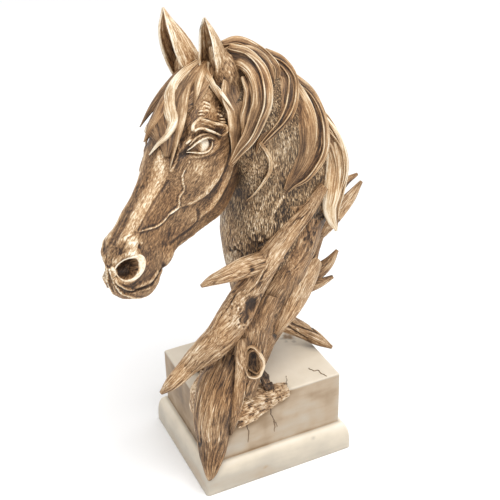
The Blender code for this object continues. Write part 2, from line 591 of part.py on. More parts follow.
def make_casting():
    """The casting: every form fused to one skin, thinned to its facets and cut by the plinth."""
    parts = [head(), neck(), ear_root(1.0), ear_root(-1.0)] + [ear(*row) for row in EARS]
    parts += eyeballs() + forelock()
    parts += [lock(*row, facing=(0.0, -1.0, 0.2)) for row in NEAR_LOCKS]
    parts += [lock(*row, facing=(0.0, 1.0, 0.2)) for row in FAR_LOCKS]
    parts += [lock(*row, facing=(0.0, -1.0, 0.0)) for row in CREST_LOCKS]
    parts += [limb(DIAGONAL_LIMB, flutes=0.06), limb(SIDE_SPIKE, flutes=0.06)]
    parts += [limb(BODY_SLAB, facing=BODY_FACING, flutes=0.05), limb(TRUNK, flutes=0.05)]
    parts += [limb(KNOT_LIMB, flutes=0.06), limb(RIGHT_SLAB, flutes=0.06)]
    parts += [limb(points, flutes=0.07) for points in RIGHT_SPIKES + BACK_SPIKES + REAR_ROOTS]
    parts += [limb(BACK_ROOT, flutes=0.07), knot_ring(), foot_tongue()] + bark_sheets()
    rough = add_object("rough_casting", joined_mesh("rough_casting", parts))
    fuse = rough.modifiers.new("fuse", "REMESH")
    fuse.mode = "VOXEL"
    fuse.voxel_size = REMESH_SIZE
    soften = rough.modifiers.new("soften", "SMOOTH")
    soften.iterations = 1
    fine = evaluated_copy(rough, "fine_casting")
    triangles = sum(len(face.vertices) - 2 for face in fine.polygons)
    bpy.data.objects.remove(rough, do_unlink=True)

    resin = principled("antiqued_resin", (0.36, 0.24, 0.13), 0.6)
    casting = add_object("horse_and_driftwood", fine, resin)
    thin = casting.modifiers.new("thin", "DECIMATE")
    thin.ratio = FIGURE_TRIANGLES / triangles
    thin.use_collapse_triangulate = True
    cutter = add_object("plinth_space", plinth_mesh("plinth_space", CLEARANCE))
    cutter.hide_render = True
    cutter.display_type = "WIRE"
    cut = casting.modifiers.new("seat_on_plinth", "BOOLEAN")
    cut.operation = "DIFFERENCE"
    cut.solver = "EXACT"
    cut.object = cutter
    return casting


plinth = make_plinth()
casting = make_casting()
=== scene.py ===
# %% [markdown]
# # A horse's head that grows out of driftwood, on a rectangular plinth
#
# The real thing is a resin casting, painted to look like weathered wood. A dark brown coat is
# brushed on and wiped back, so it stays in every groove, and a cream coat is then dragged lightly
# over the ridges. That dry brushing is what the eye sees first, so this notebook works out where a
# brush would reach and where it wouldn't, from the shape itself.
#
# The casting could be made here as one sculpted mesh. It is made instead as closed skins that run
# into each other, one for each limb, lock and fold, because a skin along a path knows which way
# its grain or hair runs, and the grooves can follow it.

import math

import bpy
import numpy as np
from mathutils import Matrix


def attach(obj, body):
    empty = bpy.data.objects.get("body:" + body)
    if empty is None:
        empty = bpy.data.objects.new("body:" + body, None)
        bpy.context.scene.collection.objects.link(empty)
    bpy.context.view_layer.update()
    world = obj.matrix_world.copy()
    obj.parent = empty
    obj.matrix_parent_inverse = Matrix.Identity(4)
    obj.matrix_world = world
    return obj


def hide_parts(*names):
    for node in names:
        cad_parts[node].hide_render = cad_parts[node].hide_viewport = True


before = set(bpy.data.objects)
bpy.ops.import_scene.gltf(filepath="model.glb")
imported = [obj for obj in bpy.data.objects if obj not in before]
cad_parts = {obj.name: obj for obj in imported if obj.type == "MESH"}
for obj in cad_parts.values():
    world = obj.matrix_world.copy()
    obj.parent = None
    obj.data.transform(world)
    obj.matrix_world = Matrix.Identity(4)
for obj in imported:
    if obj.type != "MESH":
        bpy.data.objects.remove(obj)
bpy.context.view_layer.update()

# %% [markdown]
# ## Measures and helpers
#
# Every form is drawn in millimetres from the plinth's top front left corner, the corner that the
# wood wraps. The head has axes of its own, and its features are in hundredths of its length.

# %%
PLINTH_WIDTH = 118.0
PLINTH_DEPTH = 97.2
PLINTH_HEIGHT = 75.7
MOULDING_HEIGHT = 25.3
MOULDING_OVERHANG = 8.0
CORNER = np.array([-PLINTH_WIDTH / 2, -PLINTH_DEPTH / 2, PLINTH_HEIGHT])
MILLIMETRE = 0.001

HEAD_LENGTH = 167.0
POLL = np.array([30.0, 57.0, 259.0])
HEADING, PITCH, ROLL = (math.radians(angle) for angle in (-144.0, -33.5, 18.0))


def unit_rows(vectors):
    """The same vectors, each one long."""
    return vectors / np.maximum(np.linalg.norm(vectors, axis=-1, keepdims=True), 1e-9)


def curve_through(knots, rows, places):
    """Smooth curve through rows of values at increasing knots, read at the given places.

    Each span is a cubic Hermite piece (1+2t)(1-t)^2 a + t(1-t)^2 a' + (3-2t)t^2 b - t^2(1-t) b'.
    """
    knots = np.asarray(knots, float)
    rows = np.asarray(rows, float)
    slopes = np.gradient(rows, knots, axis=0)
    span = np.clip(np.searchsorted(knots, places, side="right") - 1, 0, len(knots) - 2)
    length = (knots[span + 1] - knots[span])[:, None]
    t = (places - knots[span])[:, None] / length
    start = rows[span] * (1 + 2 * t) * (1 - t) ** 2 + slopes[span] * length * t * (1 - t) ** 2
    end = rows[span + 1] * (3 - 2 * t) * t ** 2 - slopes[span + 1] * length * t ** 2 * (1 - t)
    return start + end


def resampled(rows, count):
    """The same curve through rows of values, read at `count` even places."""
    rows = np.asarray(rows, float)
    return curve_through(np.arange(len(rows)), rows, np.linspace(0, len(rows) - 1, count))


def blended(scaled, value, smooth):
    """Value at each point, blended from the eight corners of the whole cell that it lies in.

    A place t in the cell counts as it is, or as t^2 (3 - 2t) where the blend has to be smooth.
    """
    low = np.floor(scaled).astype(int)
    part = scaled - low
    if smooth:
        part = part * part * (3.0 - 2.0 * part)
    total = np.zeros(scaled.shape[:-1])
    for corner in range(8):
        step = np.array([corner & 1, corner >> 1 & 1, corner >> 2 & 1])
        total += np.prod(np.where(step, part, 1.0 - part), axis=-1) * value(low + step)
    return total


def noise(points, across, along, seed=0):
    """Smooth random value from -1 to 1, in cells `across` wide in x and y and `along` high in z."""
    def hashed(cell):
        key = cell @ np.array([374761393, 668265263, 1442695041]) + seed * 974634777
        key = (key ^ (key >> 13)) * 1274126177 & 0xFFFFFFFF
        return ((key ^ (key >> 16)) & 0xFFFF) / 32767.5 - 1.0

    return blended(points / np.array([across, across, along], float), hashed, True)


def creased(points, across, along, seed=0):
    """Noise folded at zero: sharp crests at 1, and broad valleys down to -1."""
    return 1.0 - 2.0 * np.abs(noise(points, across, along, seed)) ** 0.8


def head_axes():
    """Forward, left and upward directions of the head from its heading, pitch and roll."""
    level = math.cos(PITCH)
    forward = np.array([level * math.cos(HEADING), level * math.sin(HEADING), math.sin(PITCH)])
    flat_left = np.array([-math.sin(HEADING), math.cos(HEADING), 0.0])
    left = flat_left * math.cos(ROLL) + np.cross(forward, flat_left) * math.sin(ROLL)
    return np.array([forward, left, np.cross(forward, left)])


HEAD_AXES = head_axes()
FORWARD, LEFT, UPWARD = HEAD_AXES
HUNDREDTH = HEAD_LENGTH / 100.0


def from_head(local):
    """Millimetres from the corner, for points in hundredths of the head's length."""
    return POLL + np.asarray(local, float) * HUNDREDTH @ HEAD_AXES


def to_head(points):
    """Hundredths of the head's length along its own axes, for points in millimetres."""
    return (points - POLL) @ HEAD_AXES.T / HUNDREDTH


print("head axes:", FORWARD.round(3), LEFT.round(3), UPWARD.round(3))

# %% [markdown]
# ## Skins
#
# A skin is a grid of rings with a grain: for each point, where it lies on the limb's own section
# and how far along the limb it is. Grooves are noise that is read in those coordinates, stretched
# along the limb. They narrow as the limb tapers, as real fibres and strands do.

# %%
class Skin:
    """A closed grid of rings (ring, place on the ring, xyz), its grain, size and paint."""

    def __init__(self, rings, grain, size, looped=False):
        self.rings = rings
        self.grain = grain
        self.size = np.broadcast_to(size, rings.shape[:2])
        self.looped = looped
        self.tone = np.zeros(rings.shape[:2])
        self.soak = 1.0
        self.contrast = 1.0
        self.sign = 1.0
        if self.volume() < 0:
            self.sign = -1.0

    def volume(self):
        """Signed volume inside the grid, with a cap from the middle of each end."""
        rings = self.rings
        if self.looped:
            rings = np.concatenate([rings, rings[:1]])
        else:
            ends = [np.broadcast_to(ring.mean(axis=0), ring.shape)[None] for ring in (rings[0], rings[-1])]
            rings = np.concatenate([ends[0], rings, ends[1]])
        after = np.roll(rings, -1, axis=1)
        first = np.einsum("ijk,ijk", rings[:-1], np.cross(after[:-1], after[1:]))
        second = np.einsum("ijk,ijk", rings[:-1], np.cross(after[1:], rings[1:]))
        return (first + second) / 6.0

    def normals(self):
        """Outward directions, from the slopes along and round the grid."""
        if self.looped:
            along = np.roll(self.rings, -1, axis=0) - np.roll(self.rings, 1, axis=0)
        else:
            along = np.gradient(self.rings, axis=0)
        around = np.roll(self.rings, -1, axis=1) - np.roll(self.rings, 1, axis=1)
        return unit_rows(np.cross(around, along)) * self.sign

    def push(self, height):
        """Move each point outwards by a height in millimetres."""
        self.rings = self.rings + self.normals() * height[..., None]
        return self

    def swelling(self, reach):
        """How far each point stands above the mean of its neighbours `reach` steps away."""
        rings = self.rings
        if self.looped:
            ahead = np.roll(rings, -reach, axis=0)
            behind = np.roll(rings, reach, axis=0)
        else:
            place = np.arange(len(rings))
            ahead = rings[np.minimum(place + reach, len(rings) - 1)]
            behind = rings[np.maximum(place - reach, 0)]
        mean = (np.roll(rings, -reach, axis=1) + np.roll(rings, reach, axis=1) + ahead + behind) / 4.0
        return np.einsum("ijk,ijk->ij", rings - mean, self.normals())


def path_frame(points, facing, step, looped=False):
    """Even places along a path, its rows there, and the directions across and out of it."""
    points = np.asarray(points, float)
    if looped:
        points = np.vstack([points, points[:1]])
    steps = np.linalg.norm(np.diff(points[:, :3], axis=0), axis=1)
    knots = np.concatenate([[0.0], np.cumsum(steps)])
    count = max(int(knots[-1] / step), 10)
    places = np.linspace(0.0, knots[-1], count, endpoint=not looped)
    rows = curve_through(knots, points, places)
    if looped:
        along = unit_rows(np.roll(rows[:, :3], -1, axis=0) - np.roll(rows[:, :3], 1, axis=0))
    else:
        along = unit_rows(np.gradient(rows[:, :3], axis=0))
    across = unit_rows(np.cross(along, np.asarray(facing, float)))
    return places, rows, across, np.cross(across, along)


def limb(points, facing=(0.0, -1.0, 0.0), step=0.9, looped=False):
    """Tapering skin along a path of x, y, z, half width, half thickness, which faces one way."""
    places, rows, across, outward = path_frame(points, facing, step, looped)
    half = np.maximum(rows[:, 3:], 0.3)
    sides = int(np.clip(2 * math.pi * math.sqrt((half.max(axis=0) ** 2).mean()) / step, 10, 200))
    angle = np.linspace(0.0, 2 * math.pi, sides, endpoint=False)
    wide = (half[:, :1] * np.cos(angle))[..., None] * across[:, None]
    thick = (half[:, 1:] * np.sin(angle))[..., None] * outward[:, None]
    mean = half.mean(axis=0)
    grain = np.broadcast_arrays(mean[0] * np.cos(angle), mean[1] * np.sin(angle), places[:, None])
    return Skin(rows[:, None, :3] + wide + thick, np.stack(grain, axis=-1), half.min(axis=1)[:, None], looped)


def wood(skin, depth=1.0, seed=0, sway=1.0, split=1.0):
    """Cut weathered grain into a skin: lumps, long ridges, fine fibres and a few open checks.

    sway is how far the fibres wander off the limb's own line, and split how deep the checks go.
    """
    grain = skin.grain + np.array([0.0, 0.0, 37.0 * seed])
    bend = noise(grain, 24, 32, seed)[..., None] * np.array([4.5, 4.5, 0.0])
    bend = bend + noise(grain, 8, 14, seed + 9)[..., None] * np.array([1.3, -1.3, 0.0])
    fibre = grain + sway * bend
    patch = np.clip(0.30 + 1.8 * noise(fibre, 14, 24, seed + 6), 0.0, 1.0)
    checks = -np.exp(-(noise(fibre, 8, 40, seed + 5) / 0.06) ** 2) * patch
    lumps = 1.5 * noise(grain, 13, 26, seed + 1)
    ridges = 0.16 * creased(fibre, 4.6, 60, seed + 2)
    fibres = 0.18 * creased(fibre, 2, 30, seed + 3) * (0.4 + patch)
    scratches = 0.16 * noise(fibre, 1.2, 10, seed + 4)
    relief = lumps + ridges + fibres + scratches + split * checks
    skin.tone += 0.30 * split * checks + 0.10 * noise(grain, 9, 20, seed + 7)
    skin.tone -= 0.14 * np.exp(-(skin.size / 2.4) ** 2)
    skin.contrast = 0.95
    skin.grain = fibre
    return skin.push(depth * relief * np.clip(skin.size / 7.0, 0.12, 1.0))


def hair(skin, depth=1.0, seed=0):
    """Comb strands into a lock: sheaves, and finer strands on them, that meet at its tip."""
    grain = skin.grain + np.array([0.0, 0.0, 53.0 * seed])
    strand = grain + noise(grain, 9, 34, seed)[..., None] * np.array([2.4, 2.4, 0.0])
    sheaves = 0.34 * creased(strand, 4.6, 70, seed + 2)
    strands = 0.28 * creased(strand, 2, 44, seed + 3)
    hairs = 0.14 * noise(strand, 1.1, 16, seed + 4)
    skin.contrast = 1.2
    skin.soak = 1.4
    skin.tone += 0.02
    skin.grain = strand
    return skin.push(depth * (sheaves + strands + hairs) * np.clip(skin.size / 5.0, 0.1, 1.0))


def crumble(skin, depth, cell, seed, share=1.0):
    """Rotten wood: lumps as long as they are wide, with pits between them, over a share of the skin."""
    rough = noise(skin.rings, cell, cell, seed) + 0.5 * noise(skin.rings, cell / 2, cell / 2, seed + 1)
    pits = -np.clip(-0.18 - rough, 0.0, 1.0) * 1.8
    skin.tone += 0.40 * pits * share
    return skin.push(depth * (0.5 * rough + pits) * share)


def bump(points, centre, radii, height):
    """Soft round swelling: height * exp(-|offset / radii|^2)."""
    offset = (points - np.asarray(centre, float)) / np.asarray(radii, float)
    return height * np.exp(-np.sum(offset ** 2, axis=-1))


def nearness(points, path, normals=None):
    """Distance from each point to straight runs between a path's points.

    With normals given, only a fifth of an offset o along a normal n counts: o - 0.8 (o.n) n.
    """
    path = np.asarray(path, float)
    nearest = np.full(points.shape[:-1], np.inf)
    for start, end in zip(path[:-1], path[1:]):
        run = end - start
        share = np.clip(((points - start) @ run) / (run @ run), 0.0, 1.0)
        offset = points - start - share[..., None] * run
        if normals is not None:
            offset = offset - 0.8 * np.sum(offset * normals, axis=-1, keepdims=True) * normals
        nearest = np.minimum(nearest, np.linalg.norm(offset, axis=-1))
    return nearest


def ridge(points, path, width, height):
    """Soft ridge along a path: height * exp(-(distance / width)^2)."""
    return height * np.exp(-(nearness(points, path) / width) ** 2)


print("skin tools ready")

# %% [markdown]
# ## Head
#
# The head is cast in one with everything else. Its skin is swept through sections from the poll
# to the lips: forehead and brow, cheek disc, hollow face and flared muzzle. The rings lie closer at
# the eye and the muzzle, where the sculptor's tool marks are finest. The relief is a height over
# that skin: socket, folds, cheekbone, veins, nostril and mouth, and last the short strokes of the
# coat.

# %%
# Sections of the head: place, top, then half width and height of brow, cheek and jaw, and bottom
HEAD_SECTIONS = [
    (-5, -3, 7, -5, 9, -12, 5.5, -22, -28), (4, 2.5, 9, -1, 11.5, -12, 8.5, -28, -36),
    (14, 4.5, 11, 0.5, 13, -13, 9.2, -33, -42), (24, 5, 13, 0, 14, -12, 9.2, -35, -45.5),
    (34, 4.5, 14.5, -2, 14.5, -12, 9.2, -35, -46), (44, 3, 11.5, -3, 12.5, -12, 8.4, -35.5, -45),
    (54, 0.5, 7.5, -3.5, 9.8, -12, 7.2, -31.5, -40), (64, -0.6, 6, -3.4, 7.8, -11, 6.6, -27, -34.5),
    (74, -0.8, 5.8, -3.2, 7.4, -10.5, 6.6, -22.5, -29.5),
    (83, -0.8, 6.2, -3.4, 8.2, -10, 6.8, -21.8, -28.5), (90, -2, 6.6, -5.2, 9.2, -10.5, 7.2, -21.2, -28),
    (96, -6, 6.2, -9, 8.2, -13, 6.8, -20.2, -26), (100, -11, 4.2, -13, 5.4, -16, 4.2, -19, -21.5),
    (101.5, -14.5, 1.5, -15.5, 2, -17, 1.5, -18, -19),
]
EYE = np.array([34.6, 13.0, -7.6])
EYE_HALF_SIZE = (7.0, 3.3)
EYEBALL_HALF_SIZE = np.array([5.6, 3.6, 3.9])
EYE_ALONG = np.array([-0.74, 0.06, -0.67])
EYE_ABOVE = np.array([-0.67, 0.10, 0.74])
NOSTRIL = np.array([92.6, 8.0, -8.2])
NOSTRIL_HALF_SIZE = (4.5, 3.2)
# Lines of the face: path, half width and height in hundredths, and the paint along it
FACE_LINES = [
    ([(39, 10.5, 0.6), (42, 11.2, -0.6), (46, 10.6, -2.4), (50, 9.3, -3.6)], 0.6, 0.5, 0.08),
    ([(40, 8.5, -6), (44, 13.3, -7), (48.5, 12, -7.5), (51, 11.2, -10), (52.7, 10.6, -12.7),
      (56.6, 9.8, -12.9), (59, 9, -15.2), (63.6, 7.9, -13.9)], 0.36, 0.55, 0.12),
    ([(58.7, 8.9, -16.1), (63.4, 7.9, -13.8), (68.3, 8.1, -12.7), (72.2, 7.4, -10.5), (76.1, 7.8, -6.5),
      (79.5, 4, -4.5)], 0.38, 0.6, 0.15),
    ([(24, 15.2, -18.1), (30.3, 15.1, -19.9), (34.1, 14.6, -22), (39.5, 13.8, -23.5),
      (44.6, 12.4, -22.9), (49.1, 10.9, -23), (54.6, 8.7, -20.4)], 2, 0.15, 0.08),
    ([(34, 12.2, -29.3), (40.6, 11.2, -30.8), (47.1, 9.9, -31), (53.6, 8.3, -29.6),
      (59.8, 7.7, -25.4)], 1.6, 0.1, 0.05),
    ([(73, 6.9, -21.7), (67.3, 6.5, -25.1), (61.8, 6.6, -28.2), (57.3, 7.6, -29.7),
      (54, 8.6, -26)], 0.9, -0.5, -0.18),
    ([(72, 3.4, -27), (68.1, 4.2, -29.1), (64.8, 3.5, -31.8), (60.5, 2.3, -35.4)], 0.8, 0.3, 0.16),
    ([(99, 5, -14.8), (97.4, 7.4, -17.2), (94.5, 7.6, -19.6), (92.1, 7, -21.6), (87.5, 6.8, -23.2),
      (84, 6.4, -24.4), (81.6, 5, -25.6)], 0.6, -1.2, -0.34),
    ([(97, 8.4, -15.6), (93.6, 8.6, -18.2), (90.8, 8, -20.2), (86.6, 7.6, -21.8)], 0.8, 0.6, 0.14),
    ([(94.8, 1.7, -5.3), (98, 3, -9), (99.2, 4.9, -12.1), (98.6, 7, -15.2)], 0.5, 0.7, 0.22),
    ([(95.4, 0.7, -5.6), (97.5, 1.3, -7.8), (98.9, 1.8, -9.5), (100.7, 2.6, -14), (100.3, 4.3, -17.3),
      (97.9, 3.6, -22.1)], 0.55, 0.8, 0.26),
    ([(46, 6, 1), (52, 6.2, -1.2), (59.6, 6.1, -3), (66.9, 5.6, -2.9), (74.2, 5.4, -2.5),
      (83, 6, -1.7)], 2.5, 0.2, 0.3),
    ([(54, 8.6, -5), (64.9, 7, -4.8), (72, 6.6, -4.7), (78, 6.9, -4), (86, 6, -1.6),
      (89, 5, -2.6)], 0.8, -0.4, -0.22),
    ([(60, 1, 0.2), (68.6, 0.4, -0.7), (76.3, 1.2, -0.9), (86, 1, -1.6)], 1.4, -0.3, -0.1),
]
# Pale and dark places of the face: centre, radii, and how pale
FACE_PATCHES = [
    ((41, 13.4, -11.5), (3.4, 5, 5), 0.34), ((84.5, 7.5, -4.5), (4.6, 4, 3.4), 0.3),
    ((87, 8.4, -5.2), (2.4, 3, 2.2), 0.26), ((83.2, 7.8, -7.2), (0.9, 3, 0.8), -0.2),
    ((71.5, 7.3, -19), (6, 6, 4), -0.2), ((85.3, -4.1, -1.5), (3, 3, 2), -0.14),
    ((92, 8, -19), (6, 6, 3), -0.08), ((92.6, 8, -8.2), (4, 6, 3), 0.06),
    ((90.4, 7, -6.4), (1.8, 5, 1.4), -0.3), ((98, 6, -13.5), (1.6, 4, 1.6), -0.2),
    ((64, 5, -28), (13, 8, 4), -0.16), ((30, 0, 5), (16, 14, 5), 0.06),
    ((25, 16, -10.6), (1.8, 4, 2.3), -0.45), ((81.8, 5.5, -25.4), (1, 5, 2.2), -0.3),
    ((42, 9, -37), (18, 9, 6), -0.22), ((84, 9, -15), (5, 5, 5), -0.12), ((16, 9.5, -2), (10, 8, 7), 0.38),
    ((95, 9, -16), (3, 5, 2), -0.16), ((39.8, 13, -3.6), (2.6, 4, 1.6), -0.4),
]
# Plain swellings and hollows of the face: centre, radii and height
FACE_BUMPS = [
    ((35, 15, -7.5), (8, 7, 6), -1.8), ((41.5, 12, -3.2), (1.8, 4, 1.4), -1.3),
    ((24.5, 14, -12.5), (2.2, 4, 1.6), -1.5), ((14, 12, -6), (5, 5, 5), -1.6),
    ((25, 12, -24), (10, 6, 9), 0.7), ((52, 9, -20), (8, 5, 5), -0.8),
    ((84.5, 6.8, -4.2), (4.5, 3.6, 3.4), 2.2), ((83.2, 7.8, -7.2), (1, 3, 0.9), -1.5),
    ((77, 4, -25.5), (5, 7, 4), 1.9), ((90, 4, -25), (6.5, 7, 4), 1.9),
    ((81.8, 5, -26), (1.1, 7, 3.5), -0.9), ((93.5, 7.6, -21.5), (4, 4, 2.2), 0.7),
]
# Ridges and grooves: path, half width and height. Two stacks of wrinkles over the brow are added
FACE_RIDGES = [
    ([(41, 10.5, -3), (38, 13.5, -0.6), (33, 14, 0)], 1.6, 1.3),
    ([(32, 14, -1), (27.5, 15, -4), (24, 15, -9.5), (22, 14.5, -14)], 2.2, 2),
    ([(25, 13.8, -2.4), (23, 14.4, -7), (20.5, 14.4, -11.5)], 0.6, -1.1),
    ([(44, 5, 3), (60, 4.2, -0.5), (76, 3.6, -1.8), (86, 3, -2)], 1.4, 0.5),
]
FACE_RIDGES += [([(x, 12, -0.5), (x - 1, 13.6, -2.6)], 0.55, 0.75) for x in (22, 20, 18.2)]
FACE_RIDGES += [([(x - 4, 13.6, -8.4), (x - 5.5, 14, -11)], 0.55, 0.65) for x in (22, 20, 18.2)]
# Lower edges of cheek and jaw: path of places and heights, reach above and below it, and height
FACE_SHELVES = [
    ([(17, -10.5), (20.6, -15), (26, -20), (32, -22.8), (39, -24.2), (46.3, -23.8), (54.2, -20),
      (58, -16.5)], 8, 1.6, 1.4),
    ([(16, -24), (24, -27.6), (30.2, -30.2), (37, -31.6), (43, -31.8), (49, -31.8),
      (56, -28.5)], 4, 1.3, 0.8),
]


def shelf(points, path, above, below, height):
    """Edge of a broad form: height * exp(-(d / reach)^2), where d is the height over the path."""
    path = np.asarray(path, float)
    over = points[..., 2] - np.interp(points[..., 0], path[:, 0], path[:, 1])
    reach = np.where(over > 0, above, below)
    middle = (path[0, 0] + path[-1, 0]) / 2
    half = (path[-1, 0] - path[0, 0]) / 2
    window = np.exp(-(np.abs(points[..., 0] - middle) / half) ** 6)
    return height * window * np.exp(-(over / reach) ** 2)


def socket(reach, deep, width, power, lip, lip_place, lip_width):
    """A hollow with a soft lip round it, by the reach from its middle in half sizes.

    height = lip * exp(-((r - lip_place) / lip_width)^2) - deep * exp(-(r / width)^power)
    """
    rim = lip * np.exp(-((reach - lip_place) / lip_width) ** 2)
    return rim - deep * np.exp(-(reach / width) ** power)


def face_relief(p):
    """Height of each point of the head over its plain skin, in hundredths of its length.

    Both sides are alike, so it is worked out at |y|. The far side can hardly be seen in the picture.
    """
    side = p * np.array([1.0, 0.0, 1.0]) + np.abs(p) * np.array([0.0, 1.0, 0.0])
    out = sum(bump(side, *row) for row in FACE_BUMPS) + sum(ridge(side, *row) for row in FACE_RIDGES)
    out += sum(shelf(side, *row) for row in FACE_SHELVES)
    along = (side - EYE) @ EYE_ALONG / EYE_HALF_SIZE[0]
    above = (side - EYE) @ EYE_ABOVE / EYE_HALF_SIZE[1]
    eye_reach = np.sqrt(along ** 2 + above ** 2 + ((side[..., 1] - 14.0) / 9.0) ** 2)
    hole = (side - NOSTRIL)[..., [0, 2]] / NOSTRIL_HALF_SIZE
    hole_reach = np.linalg.norm(hole, axis=-1) + 99.0 * (side[..., 1] < 2.0)
    out += socket(eye_reach, 3.6, 0.85, 4, 0.6, 1.25, 0.28)
    return out + socket(hole_reach, 5.5, 0.98, 8, 0.7, 1.35, 0.3)


def face_lines(p, normals):
    """Height and paint of the face's lines and patches: cream along a line, brown beside it."""
    mirror = np.where(p[..., 1:2] < 0, -1.0, 1.0) * np.array([0.0, 1.0, 0.0]) + np.array([1.0, 0.0, 1.0])
    side = p * mirror
    facing = normals * mirror
    height = np.zeros(p.shape[:-1])
    tone = sum(bump(side, *row) for row in FACE_PATCHES)
    for path, width, rise, pale in FACE_LINES:
        path = np.asarray(path, float)
        reach = 4.0 * width + 2.0
        near = np.all((side > path.min(axis=0) - reach) & (side < path.max(axis=0) + reach), axis=-1)
        away = nearness(side[near], resampled(path, 4 * len(path)), facing[near]) / width
        height[near] += rise * np.exp(-away ** 2)
        tone[near] += pale * np.exp(-away ** 2) - 0.4 * abs(pale) * np.exp(-((away - 2.3) / 0.9) ** 2)
    return height, tone


def sunken_far_side(local):
    """The far brow lies a little flatter: y * (1 - 0.17 exp(-((x - 36) / 9)^2)) where y is below 0."""
    local = np.array(local, float)
    local[..., 1] *= 1.0 - 0.17 * (local[..., 1] < 0) * np.exp(-((local[..., 0] - 36.0) / 9.0) ** 2)
    return local


def density_places(low, high, count, dense):
    """Places from low to high, closer together where the given spans ask for it."""
    fine = np.linspace(low, high, 2000)
    weight = np.ones_like(fine)
    for start, end, gain in dense:
        weight += gain * ((fine > start) & (fine < end))
    total = np.concatenate([[0.0], np.cumsum((weight[1:] + weight[:-1]) / 2)])
    return np.interp(np.linspace(0.0, total[-1], count), total, fine)


HEAD_RINGS = 290
HEAD_SIDES = 250


def head():
    """The head's skin with its relief."""
    table = np.asarray(HEAD_SECTIONS, float)
    places = density_places(table[0, 0], table[-1, 0], HEAD_RINGS, [(18, 46, 0.7), (84, 101.5, 0.6)])
    place, top, brow, brow_z, cheek, cheek_z, jaw, jaw_z, bottom = curve_through(table[:, 0], table, places).T
    none = np.zeros_like(place)
    widths = np.stack([none, brow, cheek, jaw, none, -jaw, -cheek, -brow, none], axis=1)
    heights = np.stack([top, brow_z, cheek_z, jaw_z, bottom, jaw_z, cheek_z, brow_z, top], axis=1)
    corners = np.stack([np.repeat(place[:, None], 9, axis=1), widths, heights], axis=-1)
    wrapped = np.concatenate([corners[:, 6:8], corners, corners[:, 1:3]], axis=1)
    turns = density_places(0.0, 8.0, HEAD_SIDES + 1, [(0.6, 2.6, 1.2), (2.6, 4.0, 0.4)])[:-1]
    flat = curve_through(np.arange(-2.0, 11.0), wrapped.transpose(1, 0, 2).reshape(13, -1), turns)
    local = sunken_far_side(flat.reshape(HEAD_SIDES, HEAD_RINGS, 3).transpose(1, 0, 2))
    skin = Skin(from_head(local), local[..., [1, 2, 0]] * HUNDREDTH, 12.0)
    skin.soak = 0.85
    far_brow = (local[..., 1] < 0) & (np.abs(local[..., 0] - 34.0) < 16.0)
    skin.push(face_relief(local) * np.where(far_brow, 0.6, 1.0) * HUNDREDTH)
    height, tone = face_lines(to_head(skin.rings), skin.normals() @ HEAD_AXES.T)
    skin.tone = tone - 0.08
    skin.push(height * HUNDREDTH)
    skin.grain = skin.grain + noise(skin.grain, 14, 14, 10)[..., None] * np.array([1.6, 1.6, 0.0])
    muzzle = np.clip((local[..., 0] - 76.0) / 14.0, 0.0, 1.0)
    coat = 0.12 * noise(skin.grain, 1.3, 4.5, 11)
    leather = 0.14 * creased(skin.grain, 1.6, 3, 13)
    dents = 0.45 * noise(skin.grain, 8, 12, 14)
    return skin.push(coat * (1.0 - 0.5 * muzzle) + leather * muzzle + dents)


# How far out folds lie on the far side, as a share of the near side's, so that none shows past the
# forelock
FAR_FLATNESS = 0.93
# Folds round an eye: half width, half thickness, share of them at each end, paint, path.
# They are the upper and lower lid, the fold over the eye, the brow's mass, its crest, its lip and
# the fold between them, and a knob at the inner corner that only the near side has.
EYE_FOLDS = [
    (0.8, 1, (0.35, 0.35), 0.22, [(40.6, 13.6, -2.6), (38.6, 14.8, -3), (36.4, 16, -3.3),
      (34.2, 16.8, -4.2), (31.6, 16.6, -6.2), (29.8, 16, -8.8), (28.8, 15.2, -11.2)]),
    (0.7, 0.9, (0.35, 0.35), 0.24, [(41.2, 13.2, -3), (39.8, 14.2, -5), (38.2, 14.6, -7.6),
      (36.4, 14.7, -10), (34.4, 15, -11.4), (32, 15.4, -11.6), (30.2, 15.5, -10.6)]),
    (0.7, 1, (0.35, 0.35), 0.06, [(38.9, 14.2, -1.8), (36.4, 15.6, -1.5), (33.8, 16.6, -2.2),
      (31.4, 16.8, -4.2), (28.8, 16.3, -7.8)]),
    (2.6, 1.3, (0.5, 0.5), 0.08, [(32.4, 15.2, 0.2), (30.4, 15.6, -0.2), (28.4, 16.2, -2),
      (27, 16.4, -4.6), (26.2, 16.2, -7)]),
    (1.2, 1.4, (1.2, 0.6), 0.26, [(33.4, 15.4, 0.6), (31.8, 14.9, 1.2), (29.4, 14.8, 0.9), (27.4, 15, 0),
      (26.2, 16.3, -2.5), (24.3, 16.7, -6.6), (22.1, 16, -10.3), (20.9, 16.3, -13.2), (22.5, 16.6, -14.4),
      (24.8, 15.2, -14.2)]),
    (1, 1.4, (1.1, 0.4), 0.26, [(33.3, 15.7, 0.3), (31.7, 16.1, -0.4), (30.4, 17, -1.8),
      (29.6, 17.7, -3.9), (27.8, 17.2, -7.8), (25.3, 15.6, -13.2)]),
    (0.6, 1.5, (0.35, 0.35), 0.16, [(30.2, 15.4, 0.2), (28.6, 16, -1.2), (27.6, 16.9, -3.6),
      (26, 16.8, -7.4)]),
    (1.1, 1.3, (0.6, 0.4), 0.06, [(39.2, 14, -0.2), (37.6, 14.7, -0.3), (36, 15.1, -1.2)]),
]
